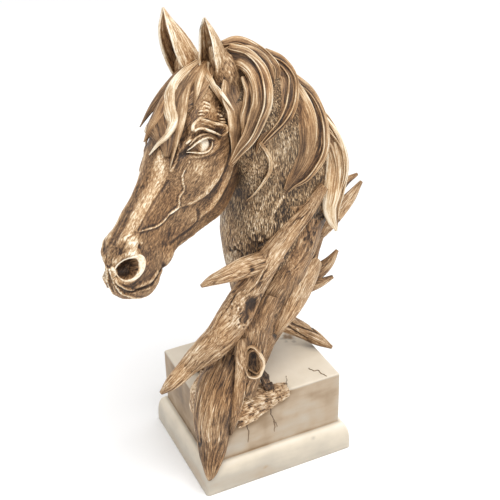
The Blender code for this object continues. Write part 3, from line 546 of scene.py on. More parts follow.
# Wrinkles over the brow in two stacks: three points that the stack starts from, and how far from
# them the same points of a wrinkle lie at a share of 1 down the stack
INNER_WRINKLE = np.array([(20.5, 11.8, 1.1), (19.1, 12.5, -0.2), (18.4, 13.1, -2.1)])
INNER_SPACING = np.array([(6.3, 2.1, -1.8), (5.8, 1.7, -2.0), (5.5, 1.4, -2.2)])
OUTER_WRINKLE = np.array([(17.4, 13.85, -8.8), (15.8, 13.45, -10.9), (14.5, 13.35, -13.1)])
OUTER_SPACING = np.array([(3.5, 0.8, -1.5), (4.0, 1.6, -1.0), (3.1, 0.5, -2.1)])


def on_face(points, half_width, half_thickness, ends, side):
    """A fold that lies on the face: a thin limb through local points, on one side of the head."""
    flat = 1.0 if side > 0 else -FAR_FLATNESS
    points = sunken_far_side(np.asarray(points, float) * np.array([1.0, flat, 1.0]))
    taper = np.interp(np.linspace(0.0, 1.0, len(points)), [0.0, 0.3, 0.7, 1.0], [ends[0], 1.0, 1.0, ends[1]])
    rows = np.column_stack([from_head(points), half_width * taper, half_thickness * taper])
    fold = limb(rows, facing=LEFT * side + UPWARD * 0.25, step=0.55)
    fold.soak = 1.5
    return fold


def eye_parts(side):
    """Eyeball, lids and the heavy folds of the brow over it."""
    turn = np.linspace(0.0, 2 * math.pi, 40, endpoint=False)
    rise = np.linspace(0.06, math.pi - 0.06, 26)[:, None]
    axes = np.stack([EYE_ALONG, (0.0, 1.0, 0.0), EYE_ABOVE]) * EYEBALL_HALF_SIZE[:, None]
    ball = np.broadcast_arrays(np.cos(rise), np.sin(rise) * np.cos(turn), np.sin(rise) * np.sin(turn))
    ball = np.stack(ball, axis=-1)
    local = sunken_far_side((EYE + np.array([0.0, -1.3, 0.0]) + ball @ axes) * np.array([1.0, side, 1.0]))
    eyeball = Skin(from_head(local), local * HUNDREDTH, 5.0)
    eyeball.tone += 0.32 - 0.60 * np.clip(-0.3 - ball[..., 0] / 0.3, 0.0, 1.0)
    eyeball.soak = 0.3
    folds = []
    for half_width, half_thickness, ends, pale, path in EYE_FOLDS if side > 0 else EYE_FOLDS[:-1]:
        folds.append(on_face(path, half_width, half_thickness, ends, side))
        folds[-1].tone += pale
    # An inner wrinkle is drawn round its own middle point, and is longer the further down it lies
    wrinkles = []
    for share in np.linspace(0.48, 1.38, 5):
        run = INNER_WRINKLE + share * INNER_SPACING
        lifted = run - run[1] + np.array([0.6, -0.35, 0.75])
        wrinkles.append(on_face(run[1] + 0.25 + lifted * (0.60 + 0.30 * share), 0.75, 1.0, (0.4, 0.4), side))
    for share in np.linspace(0.28, 1.28, 4):
        wrinkles.append(on_face(OUTER_WRINKLE + share * OUTER_SPACING, 0.85, 1.0, (0.4, 0.4), side))
    for wrinkle in wrinkles:
        wrinkle.tone += 0.30
    return [eyeball] + folds + wrinkles


def nostril_rim(side):
    """The flared rim of a nostril: a broad band behind it, thin round the front."""
    points = np.array([
        (95.2, 2, -6.2), (92.9, 3.7, -5.3), (90.7, 5.6, -5.4), (88.9, 7.5, -6.3), (87.5, 9, -7.8),
        (87.6, 9.7, -9.8), (89.6, 9.8, -11.5), (92.5, 9.6, -12.1), (95.2, 8.9, -11.7), (97.3, 6.9, -10.2),
        (97.1, 3.9, -8.9),
    ]) * np.array([1.0, side, 1.0])
    width = np.array([0.55, 0.6, 0.65, 0.9, 1.8, 2.6, 2.4, 1.7, 1.1, 0.7, 0.55])
    rows = np.column_stack([from_head(points), width, 0.9 + 0.25 * width])
    rim = limb(rows, facing=LEFT * side + FORWARD * 0.3 + UPWARD * 0.3, step=0.6, looped=True)
    rim.tone += 0.34
    return rim


head_skin = head()
face_parts = []
for which in (1.0, -1.0):
    face_parts += eye_parts(which) + [nostril_rim(which)]
print("head:", head_skin.rings.shape, "face parts:", len(face_parts))

# %% [markdown]
# ## Ears
#
# Each ear is a thin cup, open to the side. Its section is a thick arc, swept up a curved spine to
# a point. Real cast ears have a rolled rim and a few hair grooves inside. Here the rim is the edge
# of the wall, and paint makes it pale.

# %%
# Ears: the way the back faces, and the spine with the half width at each point
EARS = [
    ((-0.75, -0.03, -0.65), [(0.7, 8, -3, 5.6), (-1.5, 8.5, 1.8, 6.3), (-4.6, 9.5, 8.1, 4.9),
      (-7.5, 10.5, 14.4, 3), (-10.4, 11, 18.5, 0.5)]),
    ((-0.77, 0.25, -0.59), [(-0.4, -8, -2, 6.5), (-2.2, -9, 2.5, 7.4), (-5.4, -10, 11.2, 6.6),
      (-9, -11, 17.9, 4.4), (-14.6, -12, 23.2, 0.5)]),
]
EAR_WALL = 0.8
# Half of the angle that the shell goes round the spine, about two thirds up the ear
EAR_WRAP = 118.0
EAR_RINGS = 76
EAR_ARC = 60


def ear(back, points, seed):
    """One ear: a closed shell round its spine, open in front, with a wall and a pale rim."""
    rows = resampled(points, EAR_RINGS)
    spine = rows[:, :3]
    radius = np.maximum(rows[:, 3:], 0.4)
    lean = unit_rows(np.gradient(spine, axis=0))
    across = unit_rows(np.cross(lean, np.asarray(back, float)))
    behind = np.cross(across, lean)
    turn = np.linspace(-1.0, 1.0, EAR_ARC)
    angle = np.radians(np.linspace(EAR_WRAP + 30.0, EAR_WRAP - 14.0, EAR_RINGS))[:, None] * turn
    arc = np.sin(angle)[..., None] * across[:, None] + np.cos(angle)[..., None] * behind[:, None]
    inside = np.maximum(radius - EAR_WALL, 0.25 * radius)
    shell = np.concatenate([radius[..., None] * arc, inside[..., None] * arc[:, -2:0:-1]], axis=1)
    sideways = np.concatenate([turn, turn[-2:0:-1]]) * 18.0
    height = np.linspace(0.0, 1.0, EAR_RINGS)[:, None]
    grain = np.stack(np.broadcast_arrays(sideways, 0.0, 34.0 * height), axis=-1)
    skin = Skin(from_head(spine[:, None] + shell), grain, 3.0)
    rim = np.exp(-((np.abs(turn) - 1.0) / 0.07) ** 2)
    skin.tone[:, EAR_ARC:] += 0.22 + 0.22 * height
    skin.tone[:, :EAR_ARC] += 0.22 + 0.16 * rim * np.clip(4.0 * height - 0.4, 0.0, 1.0)
    skin.tone -= 0.24 * np.exp(-(height / 0.16) ** 2)
    return skin.push(0.25 * creased(skin.grain, 2.2, 22, seed) + 0.2 * noise(skin.grain, 4, 9, seed))


def ear_root(side, seed):
    """The round muscle at the foot of an ear."""
    points = np.array([(6.5, 9, -10.5), (1.5, 10.8, -7), (-2.2, 10.8, -3), (-4.6, 9.6, 2.5), (-6.2, 9.4, 7)])
    points = points * np.array([1.0, side, 1.0])
    rows = np.column_stack([from_head(points), [8.5, 11.5, 11.5, 7.5, 3.0], [8.5, 11.0, 10.5, 6.5, 3.0]])
    skin = limb(rows, facing=FORWARD, step=0.9)
    # Painted darker at its lower end, as a painted shadow beneath the ear, and paler towards its top.
    skin.tone += np.linspace(-0.22, 0.32, len(skin.rings))[:, None]
    return skin.push(0.25 * noise(skin.rings, 1.4, 3, seed) + 0.5 * noise(skin.rings, 6, 6, seed))


ears = [ear(*EARS[0], 21), ear(*EARS[1], 22), ear_root(1.0, 23), ear_root(-1.0, 24)]
print("ears:", [part.rings.shape[:2] for part in ears])

# %% [markdown]
# ## Neck
#
# Egg-shaped sections, thinner at the crest, run down from the poll. The coat is a stipple of short
# strokes. Towards its foot the skin breaks up: the neck isn't finished there but rots away into the
# wood, with pits along the seam.

# %%
# Sections of the neck: middle x, y, z, half depth, half width and lean in degrees
NECK_SECTIONS = [
    (42, 45, 245, 25, 24, 40), (57, 44, 231, 35, 30, 38), (75, 45, 209, 43, 33, 28),
    (87, 47, 180, 47, 33, 15), (89, 46, 154, 49, 35, 5), (82, 45, 130, 44, 34, 0),
    (75, 43, 108, 37, 30, -5), (69, 41, 88, 29, 24, -10), (63, 38, 70, 20, 17, -12),
    (59, 36, 56, 9, 8, -12),
]
NECK_RINGS = 210
NECK_SIDES = 220
# Tendons of the neck: path, half width and height
TENDONS = [
    ([(60, 12, 214), (66, 11, 190), (62, 10, 170), (52, 9, 156)], 3.5, 0.9),
    ([(74, 14, 169), (66, 12, 158), (58, 11, 148)], 2.5, 0.8),
]
ROT_SEED = 34
# Where the neck rots away into the wood: centre, radii and how much
ROTTEN_PLACES = [
    ((70, 12, 155), (7, 9, 8), 1), ((57, 15, 135), (8, 9, 6), 1), ((45, 24, 121), (14, 14, 4), 1),
    ((106, 17, 139), (9, 13, 8), 1), ((92, 13, 132), (8, 9, 9), 1),
]


def rotten(skin):
    """Dark broken places where the neck turns into wood. It and the trunk in it break up together."""
    share = sum(bump(skin.rings, *row) for row in ROTTEN_PLACES)
    share = np.clip(1.6 * share + 0.5 * noise(skin.rings, 4, 4, ROT_SEED + 2) - 0.35, 0.0, 1.0)
    skin.tone -= 0.26 * share
    return crumble(skin, 1.3, 3.0, ROT_SEED, share)


def neck():
    """The neck's skin, with its tendons, coat and broken foot."""
    x, y, z, deep, wide, lean = resampled(NECK_SECTIONS, NECK_RINGS).T[..., None]
    angle = np.linspace(0.0, 2 * math.pi, NECK_SIDES, endpoint=False)
    forward = deep * np.cos(angle)
    sideways = wide * np.sin(angle) * (1.0 - 0.22 * np.cos(angle))
    lean = np.radians(lean)
    rings = np.stack([x + forward * np.cos(lean), y + sideways, z + forward * np.sin(lean)], axis=-1)
    skin = Skin(rings, rings.copy(), 12.0)
    skin.push(sum(ridge(rings, *row) for row in TENDONS) + noise(rings, 16, 26, 31))
    skin.push(0.09 * noise(rings, 2.6, 6, 32) + 0.25 * noise(rings, 6, 9, 33))
    skin.tone += bump(rings, (68, 12, 185), (14, 16, 30), 0.03) + 0.08 * noise(rings, 13, 20, 35)
    skin.tone -= bump(rings, (42, 40, 160), (16, 30, 45), 0.12)
    return rotten(skin)


neck_skin = neck()
print("neck:", neck_skin.rings.shape)

# %% [markdown]
# ## Mane and forelock
#
# The mane hangs in sheaves that a sculptor cuts as swelling S-curves, each with combed strands
# that come together in a point. The near side follows the picture. The far side is in keeping and
# plainer. A few single strands run free over the sheaves and catch the cream coat.

# %%
# Locks: half width, half thickness and path, in millimetres from the corner
NEAR_LOCKS = [
    (8, 5, [(46, 44, 272), (53, 34, 270), (57, 24, 264), (58, 17, 253), (56, 13, 243), (51, 11, 233),
      (44, 9, 222), (35, 8, 213), (28, 7, 205)]),
    (4.5, 3.5, [(51, 27, 259), (51, 20, 252), (48, 16, 243), (44, 13, 235), (43, 12, 227),
      (38, 10, 218)]),
    (6.5, 5, [(47, 55, 272), (57, 53, 273), (65, 49, 269), (73, 43, 263), (77, 37, 257), (76, 33, 251),
      (74, 32, 246)]),
    (4.5, 4.5, [(54, 48, 271), (62, 42, 270), (68, 35, 265), (71, 30, 257), (72, 27, 245)]),
    (8, 5.5, [(75, 50, 263), (84, 45, 257), (87, 36, 250), (84, 27, 242), (79, 21, 233), (72, 17, 226),
      (63, 14, 220), (55, 12, 214), (51, 11, 207)]),
    (9.5, 5.5, [(96, 47, 241), (103, 36, 231), (105, 28, 220), (105, 22, 208), (103, 18, 197),
      (97, 16, 188), (90, 15, 181), (80, 14, 176), (74, 13, 170)]),
    (9, 6, [(98, 50, 228), (112, 41, 214), (123, 36, 195), (130, 32, 174), (127, 28, 156),
      (123, 25, 140), (124, 23, 121)]),
    (9, 5.5, [(94, 44, 234), (110, 34, 212), (122, 27, 192), (124, 22, 172), (118, 19, 156),
      (111, 18, 142)]),
]
FAR_LOCKS = [
    (10, 5.5, [(44, 60, 264), (54, 70, 258), (59, 80, 242), (54, 84, 220), (44, 84, 200)]),
    (11, 6, [(52, 56, 260), (72, 74, 246), (82, 82, 224), (78, 86, 200), (66, 86, 178)]),
    (11, 6, [(78, 54, 242), (96, 72, 227), (106, 82, 205), (102, 86, 180), (92, 86, 156)]),
    (11, 6, [(98, 52, 226), (116, 64, 206), (127, 74, 184), (124, 82, 160), (114, 84, 136)]),
]
# Flatter hair between the sheaves of the far side
FAR_UNDER_LOCKS = [
    (9, 3.5, [(50, 58, 262), (62, 71, 250), (67, 79, 232), (62, 82, 210), (52, 82, 190)]),
    (10, 3.5, [(66, 56, 250), (84, 71, 236), (93, 80, 214), (90, 83, 190), (80, 83, 168)]),
    (10, 3.5, [(88, 54, 235), (106, 67, 215), (116, 77, 194), (113, 82, 170), (103, 83, 148)]),
]
CREST_LOCKS = [
    (11, 7, [(42, 58, 262), (54, 55, 265), (72, 53, 255), (94, 51, 230), (114, 50, 203)]),
    (12, 7, [(74, 51, 250), (101, 50, 222), (122, 50, 193), (132, 49, 168), (128, 44, 146),
      (120, 34, 126)]),
]
# Strands of the forelock: half width and path, in hundredths of the head
FORELOCK = [
    (3.2, [(-1, 1, 2.5), (5, -2.2, 4.2), (12.5, -3.2, 5.6), (20, -1.3, 6.2), (27.7, 3.6, 5.8),
      (32.4, 6.6, 4.6), (37.5, 6.2, 4), (42.5, 3.4, 4), (47, 0.4, 3.2)]),
    (3.2, [(-1, -1, 2.5), (7, -5, 4.2), (14, -9.6, 3.6), (22, -14.4, 2.2), (29.8, -19.4, -0.5)]),
    (3.2, [(14, -4, 5.2), (23.7, -2.5, 6.2), (30, -2.3, 6), (35.6, -4.1, 5.2), (41, -6, 3.8)]),
    (2.4, [(-1, 3, 2.5), (10.4, 3.9, 5), (20.2, 6.5, 5.3), (28.5, 9.3, 4.2), (35.6, 10.3, 2.6),
      (42.2, 9.9, 0.6), (50, 9.2, -2.6)]),
    (2.4, [(-1, 4, 2), (3.7, 6.1, 3.1), (10.8, 8.5, 3.9), (17.1, 10.4, 3.6), (23.1, 11.4, 3)]),
    (1.6, [(-0.5, 5.5, 2.5), (4.7, 7.7, 2.4), (8.5, 11.3, 0.2), (11, 13.2, -3.8), (14, 14.2, -10.5)]),
    (3, [(2.1, 2.1, 2.9), (11.6, 3.8, 5), (21.4, 4.5, 5.5), (29.7, 6.5, 4.6), (36, 9, 3.4)]),
]
# Paint of each forelock strand
FORELOCK_TONE = (0.42, -0.12, 0.09, 0.13, 0.08, 0.18, 0.04)
# Sheet of hair under the strands: its path, and its half width
FORELOCK_SHEET = [
    (-3, 0, 0.6, 7), (6, 1.5, 3.4, 9), (14, 0.5, 5, 11.5), (22, -1.5, 5.6, 12.5), (29, -0.5, 5.4, 11),
    (36, 3.5, 4.4, 6.5), (42, 6.5, 3.2, 3), (46, 8, 2, 0.8),
]
# Flat hair that fills the neck's side between the sheaves, and last the tail of the outer sheaf
# and two thin free strands, one over the throat and one over the temple
UNDER_LOCKS = [
    (7, 4, [(68, 50, 262), (77, 43, 256), (79, 34, 249), (76.5, 26, 241), (71.5, 20.5, 232),
      (64.5, 17, 225), (56, 14.5, 219), (50, 13, 213)]),
    (11, 3.2, [(76, 46, 256), (83, 34, 246), (88, 25, 235), (92, 20, 222), (93, 18, 212),
      (92, 16.5, 203), (88, 14.5, 193), (82, 13.5, 184), (74, 12.5, 173)]),
    (9.2, 2, [(45, 34, 257), (41.5, 28, 249), (42, 19, 239), (41, 16, 230), (39.5, 14.5, 221),
      (36.5, 11.5, 213), (30, 8.5, 203)]),
    (7.5, 5, [(120, 27, 196), (121, 24, 182), (119, 21, 170), (116, 18, 158), (114, 17, 147),
      (117, 18, 135), (123, 20, 123)]),
    (1.5, 1.3, [(53, 9.5, 216), (58, 9.5, 208), (61.5, 10.5, 199), (61.5, 12.5, 190), (58, 15, 182),
      (53, 18.5, 173), (48, 24, 165)]),
    (1.5, 1.4, [(29.8, 38, 255.3), (32, 33, 252.2), (33.4, 27, 249.2), (34.8, 21.5, 245.6),
      (36.2, 15, 241)]),
]
# How the free strands cross each near lock, in shares of its half width at its root and its tip
SLANTS = (
    ((-0.95, -0.95), (0.95, 0.9), (-0.3, 0.2)), ((0.9, 0.9),),
    ((-0.95, -0.9), (-0.4, 0.3), (0.3, 0.8), (0.9, 0.4)), ((-0.9, -0.9), (0.2, 0.7)),
    ((-0.95, -0.95), (-0.45, -0.2), (0.1, 0.5)), ((-0.95, -0.95), (-0.2, -0.5)),
    ((-0.9, -0.5), (-0.55, 0.1), (-0.1, 0.6), (0.5, -0.6), (0.85, 0.2)),
    ((-0.8, -0.2), (0.0, -0.7), (0.6, 0.4), (0.3, 0.9)),
)
CREST_SLANTS = ((-0.9, -0.8), (-0.6, -0.3), (-0.3, 0.3))


def swell(count, least, start, power):
    """Taper from root to tip: least + (1 - least) sin(pi (start + (0.99 - start) share))^power."""
    share = np.linspace(0.0, 1.0, count)
    return least + (1.0 - least) * np.sin(math.pi * (start + (0.99 - start) * share)) ** power


def lock_rows(half_width, half_thickness, path):
    """Path of a lock with its half sizes: it swells from its root and ends in a point."""
    taper = swell(len(path), 0.06, 0.25, 0.8)
    return np.column_stack([path, half_width * taper, half_thickness * taper])


def dished(skin, depth):
    """Hollow the front of a lock between its edges, where the cream paint catches."""
    slant = np.abs(skin.grain[..., 0]) / np.abs(skin.grain[..., 0]).max()
    front = np.clip(skin.grain[..., 1] / np.abs(skin.grain[..., 1]).max(), 0.0, 1.0)
    dish = front * (1.0 - slant ** 1.5)
    skin.tone += 0.14 * np.exp(-((slant - 0.92) / 0.09) ** 2) - 0.04 * dish
    return skin.push(-depth * dish * skin.size)


def locks(table, facing, seed, step=0.85):
    """Locks of hair with dished fronts, combed from root to tip."""
    skins = [dished(limb(lock_rows(*row), facing=facing, step=step), 0.35) for row in table]
    return [hair(skin, 1.0, seed + 9 * number) for number, skin in enumerate(skins)]


def wisps(rows, facing, seed, slants, thick=0.65, step=1.1):
    """Single strands that lie on a limb, each from one share of its width to another."""
    places, rows, across, outward = path_frame(rows, facing, step)
    share = places / places[-1]
    strands = []
    for number, (start, end) in enumerate(slants):
        wander = 0.10 * np.sin(2 * math.pi * (1.3 * share + 0.37 * number + 0.21 * seed))
        slant = np.clip(start + (end - start) * share + wander, -0.97, 0.97)[:, None]
        centre = rows[:, :3] + across * rows[:, 3:4] * slant
        centre = centre + outward * rows[:, 4:5] * np.sqrt(1.0 - slant ** 2)
        size = thick * (0.35 + 0.65 * np.sin(math.pi * np.clip(0.06 + 0.92 * share, 0.0, 1.0)))
        strand = limb(np.column_stack([centre, size, 1.2 * size])[::3], facing=facing, step=step)
        strand.tone += 0.12
        strands.append(strand)
    return strands


def forelock():
    """Strands that fall from between the ears over the brow, on a thin sheet of hair."""
    sheet = np.asarray(FORELOCK_SHEET, float)
    rows = np.column_stack([sheet * HUNDREDTH, np.full(len(sheet), 2.0)])
    flat = limb(rows, facing=(0.0, 0.0, 1.0), step=0.8)
    local = flat.rings / HUNDREDTH
    local[..., 2] -= 0.027 * local[..., 1] ** 2
    flat.rings = from_head(local)
    flat.tone += 0.22 * np.exp(-((local[..., 0] - 4.0) / 8.0) ** 2) + 0.05
    strands = [hair(flat, 1.6, 58)]
    for number, (half_width, path) in enumerate(FORELOCK):
        size = half_width * HUNDREDTH * swell(len(path), 0.05, 0.3, 0.9)
        rows = np.column_stack([from_head(path), size, size * 0.55])
        strands.append(hair(limb(rows, facing=UPWARD, step=0.75), 0.9, 60 + 7 * number))
        strands[-1].tone += FORELOCK_TONE[number]
    return strands


NEAR_FACING = (0.0, -1.0, 0.2)
FAR_FACING = (0.0, 1.0, 0.2)
CREST_FACING = (0.0, -1.0, 0.0)
# Extra cream on the two outer sheaves, two flat sheets, the outer sheaf's tail and the last strand
PALER_LOCKS = {6: 0.38, 7: 0.38, 9: 0.12, 10: 0.17, 11: 0.38, 13: 0.38}
near_mane = locks(NEAR_LOCKS, NEAR_FACING, 100) + locks(UNDER_LOCKS, NEAR_FACING, 190, 1.1)
for number, pale in PALER_LOCKS.items():
    near_mane[number].tone += pale
for number, row in enumerate(NEAR_LOCKS):
    near_mane += wisps(lock_rows(*row), NEAR_FACING, number, SLANTS[number])
far_mane = locks(FAR_LOCKS, FAR_FACING, 200, 1.4) + locks(FAR_UNDER_LOCKS, FAR_FACING, 250, 1.6)
crest_mane = locks(CREST_LOCKS, CREST_FACING, 300, 1.0)
for number, row in enumerate(CREST_LOCKS):
    crest_mane[number].tone += 0.30
    near_mane += wisps(lock_rows(*row), CREST_FACING, number + 20, CREST_SLANTS, 1.0)
forelock_strands = forelock()
print("locks:", len(near_mane), len(far_mane), len(crest_mane), len(forelock_strands))

# %% [markdown]
# ## Driftwood
#
# Old root wood: long limbs that end in worn points, with deep weathered grain, open checks and
# rotten hollows. The limbs run into each other, so a neighbour's grooves can cross a join, as they
# do in a real casting of real wood.

# %%
# Limbs: x, y, z from the corner, half width and half thickness, in millimetres
DIAGONAL_LIMB = [
    (108, 16, 167, 4.6, 4), (90, 12, 151, 6.6, 6), (77, 10.5, 140, 7.6, 7), (59, 8, 123, 9.5, 9),
    (44, 6, 105, 11.5, 10), (30, 6, 84, 13, 10), (16, 9, 63, 12.5, 9.5), (3, 12, 50, 11, 8.5),
    (-6, 15, 41, 8.3, 7), (-24, 19, 24, 4.3, 4), (-30, 21, 18, 1.5, 1.6),
]
SIDE_SPIKE = [
    (66, 8, 124, 6, 7), (51, 7, 121, 7, 7.5), (35, 5, 121, 7, 7), (19, 2, 121, 5.6, 5.5),
    (8, 0, 121, 4, 4), (-1, -2, 120, 1.4, 1.5),
]
BODY_SLAB = [
    (97, 30, 130, 11, 12), (86, 26, 113, 15, 13), (76, 24, 94, 19, 13), (65, 22, 77, 20, 13),
    (54, 21, 56, 17, 12), (46, 20, 34, 12, 11),
]
BODY_FACING = (0.45, -0.89, 0.0)
TRUNK = [
    (86, 44, 158, 36, 33), (84, 44, 124, 32, 34), (77, 42, 94, 27, 31), (67, 38, 68, 23, 27),
    (52, 31, 42, 21, 23), (32, 21, 18, 20, 20), (20, 15, 0, 17, 17),
]
KNOT_LIMB = [
    (60, 16, 86, 12, 9), (49, 12, 68, 13, 10), (42, 8, 49, 13, 9), (37, 5, 28, 11.5, 8.5),
    (31, 2, 8, 9, 7),
]
RIGHT_SLAB = [
    (114, 45, 112, 10, 12), (104, 41, 92, 11.5, 12), (99, 37, 75, 12, 12), (89, 35, 60, 11.5, 11),
    (75, 31, 48, 10.5, 10), (60, 27, 34, 9.5, 10),
]
RIGHT_SPIKES = [
    [(98, 38, 73, 9, 8), (107, 37, 76, 8, 6), (117, 37, 79, 6.8, 5), (126, 37, 84.5, 4.8, 3.8),
      (134, 37, 94, 1.4, 1.5)],
    [(94, 36, 66, 7, 7), (104, 35, 68, 5.8, 5), (116, 33, 70, 3.8, 3.5), (127, 31, 74, 1.4, 1.5)],
]
BACK_SPIKES = [
    [(100, 47, 97, 8, 9), (116, 51, 101, 6.5, 7), (132, 55, 107, 6.5, 6), (148, 60, 116, 6.2, 5),
      (161, 63, 125, 5, 4), (173, 67, 134, 1.6, 1.6)],
    [(104, 54, 96, 11, 11), (125, 61, 107, 7.5, 6.5), (146, 69, 121, 5.8, 5), (161, 75, 132, 4, 3.6),
      (176, 79, 135, 1.4, 1.4)],
    [(86, 50, 66, 7, 7), (96, 62, 84, 13, 10), (108, 74, 104, 12, 8), (117, 81, 122, 8, 6),
      (124, 86, 140, 2.4, 2)],
]
BACK_ROOT = [
    (72, 50, 44, 12, 11), (85, 54, 34, 10.5, 10), (99, 53, 22, 8, 8), (111, 49, 13, 7.2, 7),
    (120, 42, 7, 6, 5.5), (130, 35, 0, 1.8, 1.8),
]
REAR_ROOTS = [
    [(76, 44, 76, 7, 7), (74, 54, 54, 14, 12), (70, 66, 28, 14, 10), (68, 76, 9, 13, 7),
      (70, 84, -2, 8, 4.5)],
    [(58, 36, 62, 7, 7), (47, 44, 40, 13, 11), (32, 50, 20, 12, 10), (20, 55, 6, 10, 6.5),
      (14, 60, -2, 6, 4)],
]
# Height of the plinth's face, which the foot and the bark run down
FACE = PLINTH_HEIGHT - MOULDING_HEIGHT
FOOT = [
    (30, 22, 34, 15, 13), (14, 11, 12, 15.5, 14), (5, 5, -0.2 * FACE, 15.5, 12.5),
    (3, 3, -0.5 * FACE, 13.5, 10.5), (0.6, 0.4, -0.74 * FACE, 10.6, 9), (-2, -3, -0.92 * FACE, 7.8, 7),
    (-3.8, -6, -1.02 * FACE, 5.6, 5), (-4.8, -7.6, -1.09 * FACE, 3.4, 3.2),
    (-5.2, -8.2, -1.15 * FACE, 1.2, 1.2),
]
LEFT_BARK = [
    (14, 24, 14, 15, 9), (3, 22, 2, 16, 5), (-0.5, 20, -0.12 * FACE, 15, 3.2),
    (-0.5, 17, -0.35 * FACE, 11, 3), (-0.5, 13, -0.65 * FACE, 7, 2.6), (-0.5, 10, -0.9 * FACE, 3, 2.2),
]
FRONT_BARK = [
    (22, -0.5, -0.2 * FACE, 13, 3), (38, -0.5, -0.13 * FACE, 12, 3.6), (54, -0.5, -0.07 * FACE, 8.5, 3.2),
    (70, -0.5, -0.02 * FACE, 3.5, 2.4),
]
TOP_BARK = [(22, 16, 8, 11, 8), (38, 8, 5, 10, 6), (54, 5, 2, 8, 4), (70, 4, 0.5, 4, 2.4)]
TONGUE = [
    (32, 5, 60, 5, 4), (30, 0.5, 43, 4.8, 3.6), (27.5, -1.6, 29, 4.6, 3.4), (24.5, -4, 16, 4.6, 3.2),
    (21, -4.8, 1, 4.4, 3), (17.6, -5.6, -12, 3, 2.6), (15.5, -6, -21, 0.8, 1),
]
# A real crumbled crevice low on the front, down to the plinth, painted dark as the shade in the gap between
# the wood and the plinth.
SHADED_CREVICE = [
    (45, 1, 32, 1.6, 1.6), (47.5, 0.5, 24, 3.2, 2.2), (50.5, 0.5, 15, 4.2, 2.2), (54, 1.5, 7, 3.6, 2),
    (58, 2.5, 2, 1.4, 1.2),
]
WEB = [
    (113, 33, 92, 7, 4), (104, 28, 85, 11, 5), (94, 22, 79, 13, 6), (84, 17, 70, 12, 6),
    (73, 14, 58, 8, 5), (66, 13, 48, 3, 2),
]


def hollowed(skin, centre, radii, depth, towards, dark):
    """Sink the wood round a centre along one direction, as a rotten hollow with dark walls."""
    offset = (skin.rings - np.asarray(centre, float)) / np.asarray(radii, float)
    share = np.exp(-np.sum(offset ** 2, axis=-1) ** 1.5)
    skin.rings = skin.rings + share[..., None] * depth * unit_rows(np.asarray(towards, float))
    skin.tone -= dark * share
    return skin


def bark_layer(points, facing, seed):
    """A thin crackled layer with a torn edge."""
    skin = limb(points, facing=facing)
    skin.push(1.5 * noise(skin.rings, 5, 5, seed))
    skin.tone += 0.24
    skin.contrast = 0.8
    return crumble(skin, 0.45, 1.6, seed, 0.5)


def limbs(tables, seed, step, depth=0.9):
    """Weathered limbs that face the front, each with a seed of its own."""
    return [wood(limb(points, step=step), depth, seed + number) for number, points in enumerate(tables)]


body_slab = wood(limb(BODY_SLAB, facing=BODY_FACING, step=0.75), 1.0, 3)
diagonal = wood(limb(DIAGONAL_LIMB, step=0.75), 1.0, 1)
diagonal.tone += 0.10 * np.clip((diagonal.rings[..., 2] - 100.0) / 30.0, 0.0, 1.0)
front_wood = [diagonal] + limbs([SIDE_SPIKE], 2, 0.75) + [body_slab] + limbs([KNOT_LIMB], 4, 0.75)
front_wood += limbs([RIGHT_SLAB], 5, 0.75, 1.0)
trunk = rotten(wood(limb(TRUNK, step=1.4), 1.0, 6))
trunk.soak = 0.5
web = wood(limb(WEB, facing=BODY_FACING), 0.45, 22)
web.tone += 0.14
web.soak = 0.4
side_wood = [trunk] + limbs(RIGHT_SPIKES, 7, 0.9) + limbs(BACK_SPIKES, 9, 1.1) + limbs([BACK_ROOT], 12, 0.9)
side_wood += limbs(REAR_ROOTS, 13, 1.6) + [web]
foot = wood(limb(FOOT, facing=(-1.0, -1.0, 0.0)), 1.3, 28, 0.3, 1.6)
foot.tone -= 0.15
foot.contrast = 1.3
# The crevice is painted dark: painted shade in the gap where the wood meets the plinth.
shaded_crevice = crumble(limb(SHADED_CREVICE, step=0.7), 1.6, 2.6, 51)
shaded_crevice.tone -= 0.45
foot_wood = [
    foot, bark_layer(LEFT_BARK, (-1.0, 0.0, 0.2), 16), bark_layer(FRONT_BARK, (0.0, -1.0, 0.0), 17),
    bark_layer(TOP_BARK, (0.0, -0.2, 1.0), 18), wood(limb(TONGUE), 0.5, 19),
    *wisps(TONGUE, (0.0, -1.0, 0.0), 3, ((-0.9, -0.95),), 0.6), shaded_crevice,
]
print("driftwood limbs:", len(front_wood) + len(side_wood) + len(foot_wood))

# %% [markdown]
# The knot hole low on the wood has a thin pale lip, where the branch broke out, round a dark well.
# Rotten hollows lie higher up, and the wood round them crumbles.

# %%
KNOT_CENTRE = np.array([38.0, -3.4, 40.2])
KNOT_ACROSS = np.array([0.93, -0.30, 0.20])
KNOT_UPWARD = np.array([-0.05, 0.30, 0.95])
KNOT_HALF_WIDTH = 7.2
KNOT_HALF_HEIGHT = 12.9


def knot_ring(share, sunk, thick, pale, seed):
    """A closed lip, thickest on its right, at a share of the hole's size and sunk into it."""
    turn = np.linspace(0.0, 2 * math.pi, 16, endpoint=False)
    wobble = share * (1.0 + 0.06 * np.cos(3 * turn + 0.6 + sunk) + 0.04 * np.cos(5 * turn + sunk))
    ray = np.cos(turn)[:, None] * KNOT_ACROSS * KNOT_HALF_WIDTH
    ray = ray + np.sin(turn)[:, None] * KNOT_UPWARD * KNOT_HALF_HEIGHT
    width = thick * (1.0 + 0.3 * np.cos(turn - 0.4))
    inwards = np.cross(KNOT_UPWARD, KNOT_ACROSS)
    inwards = inwards * np.sign(inwards[1])
    places = KNOT_CENTRE + inwards * sunk + ray * wobble[:, None] + KNOT_ACROSS * 3.0 * (1.0 - share)
    rows = np.column_stack([places, width, 2.0 * thick + 0 * turn])
    skin = limb(rows, facing=np.cross(KNOT_ACROSS, KNOT_UPWARD), step=0.6, looped=True)
    skin.tone += pale
    skin.contrast = 0.6
    return skin.push(0.3 * thick * creased(skin.grain, 1.6, 18, seed))


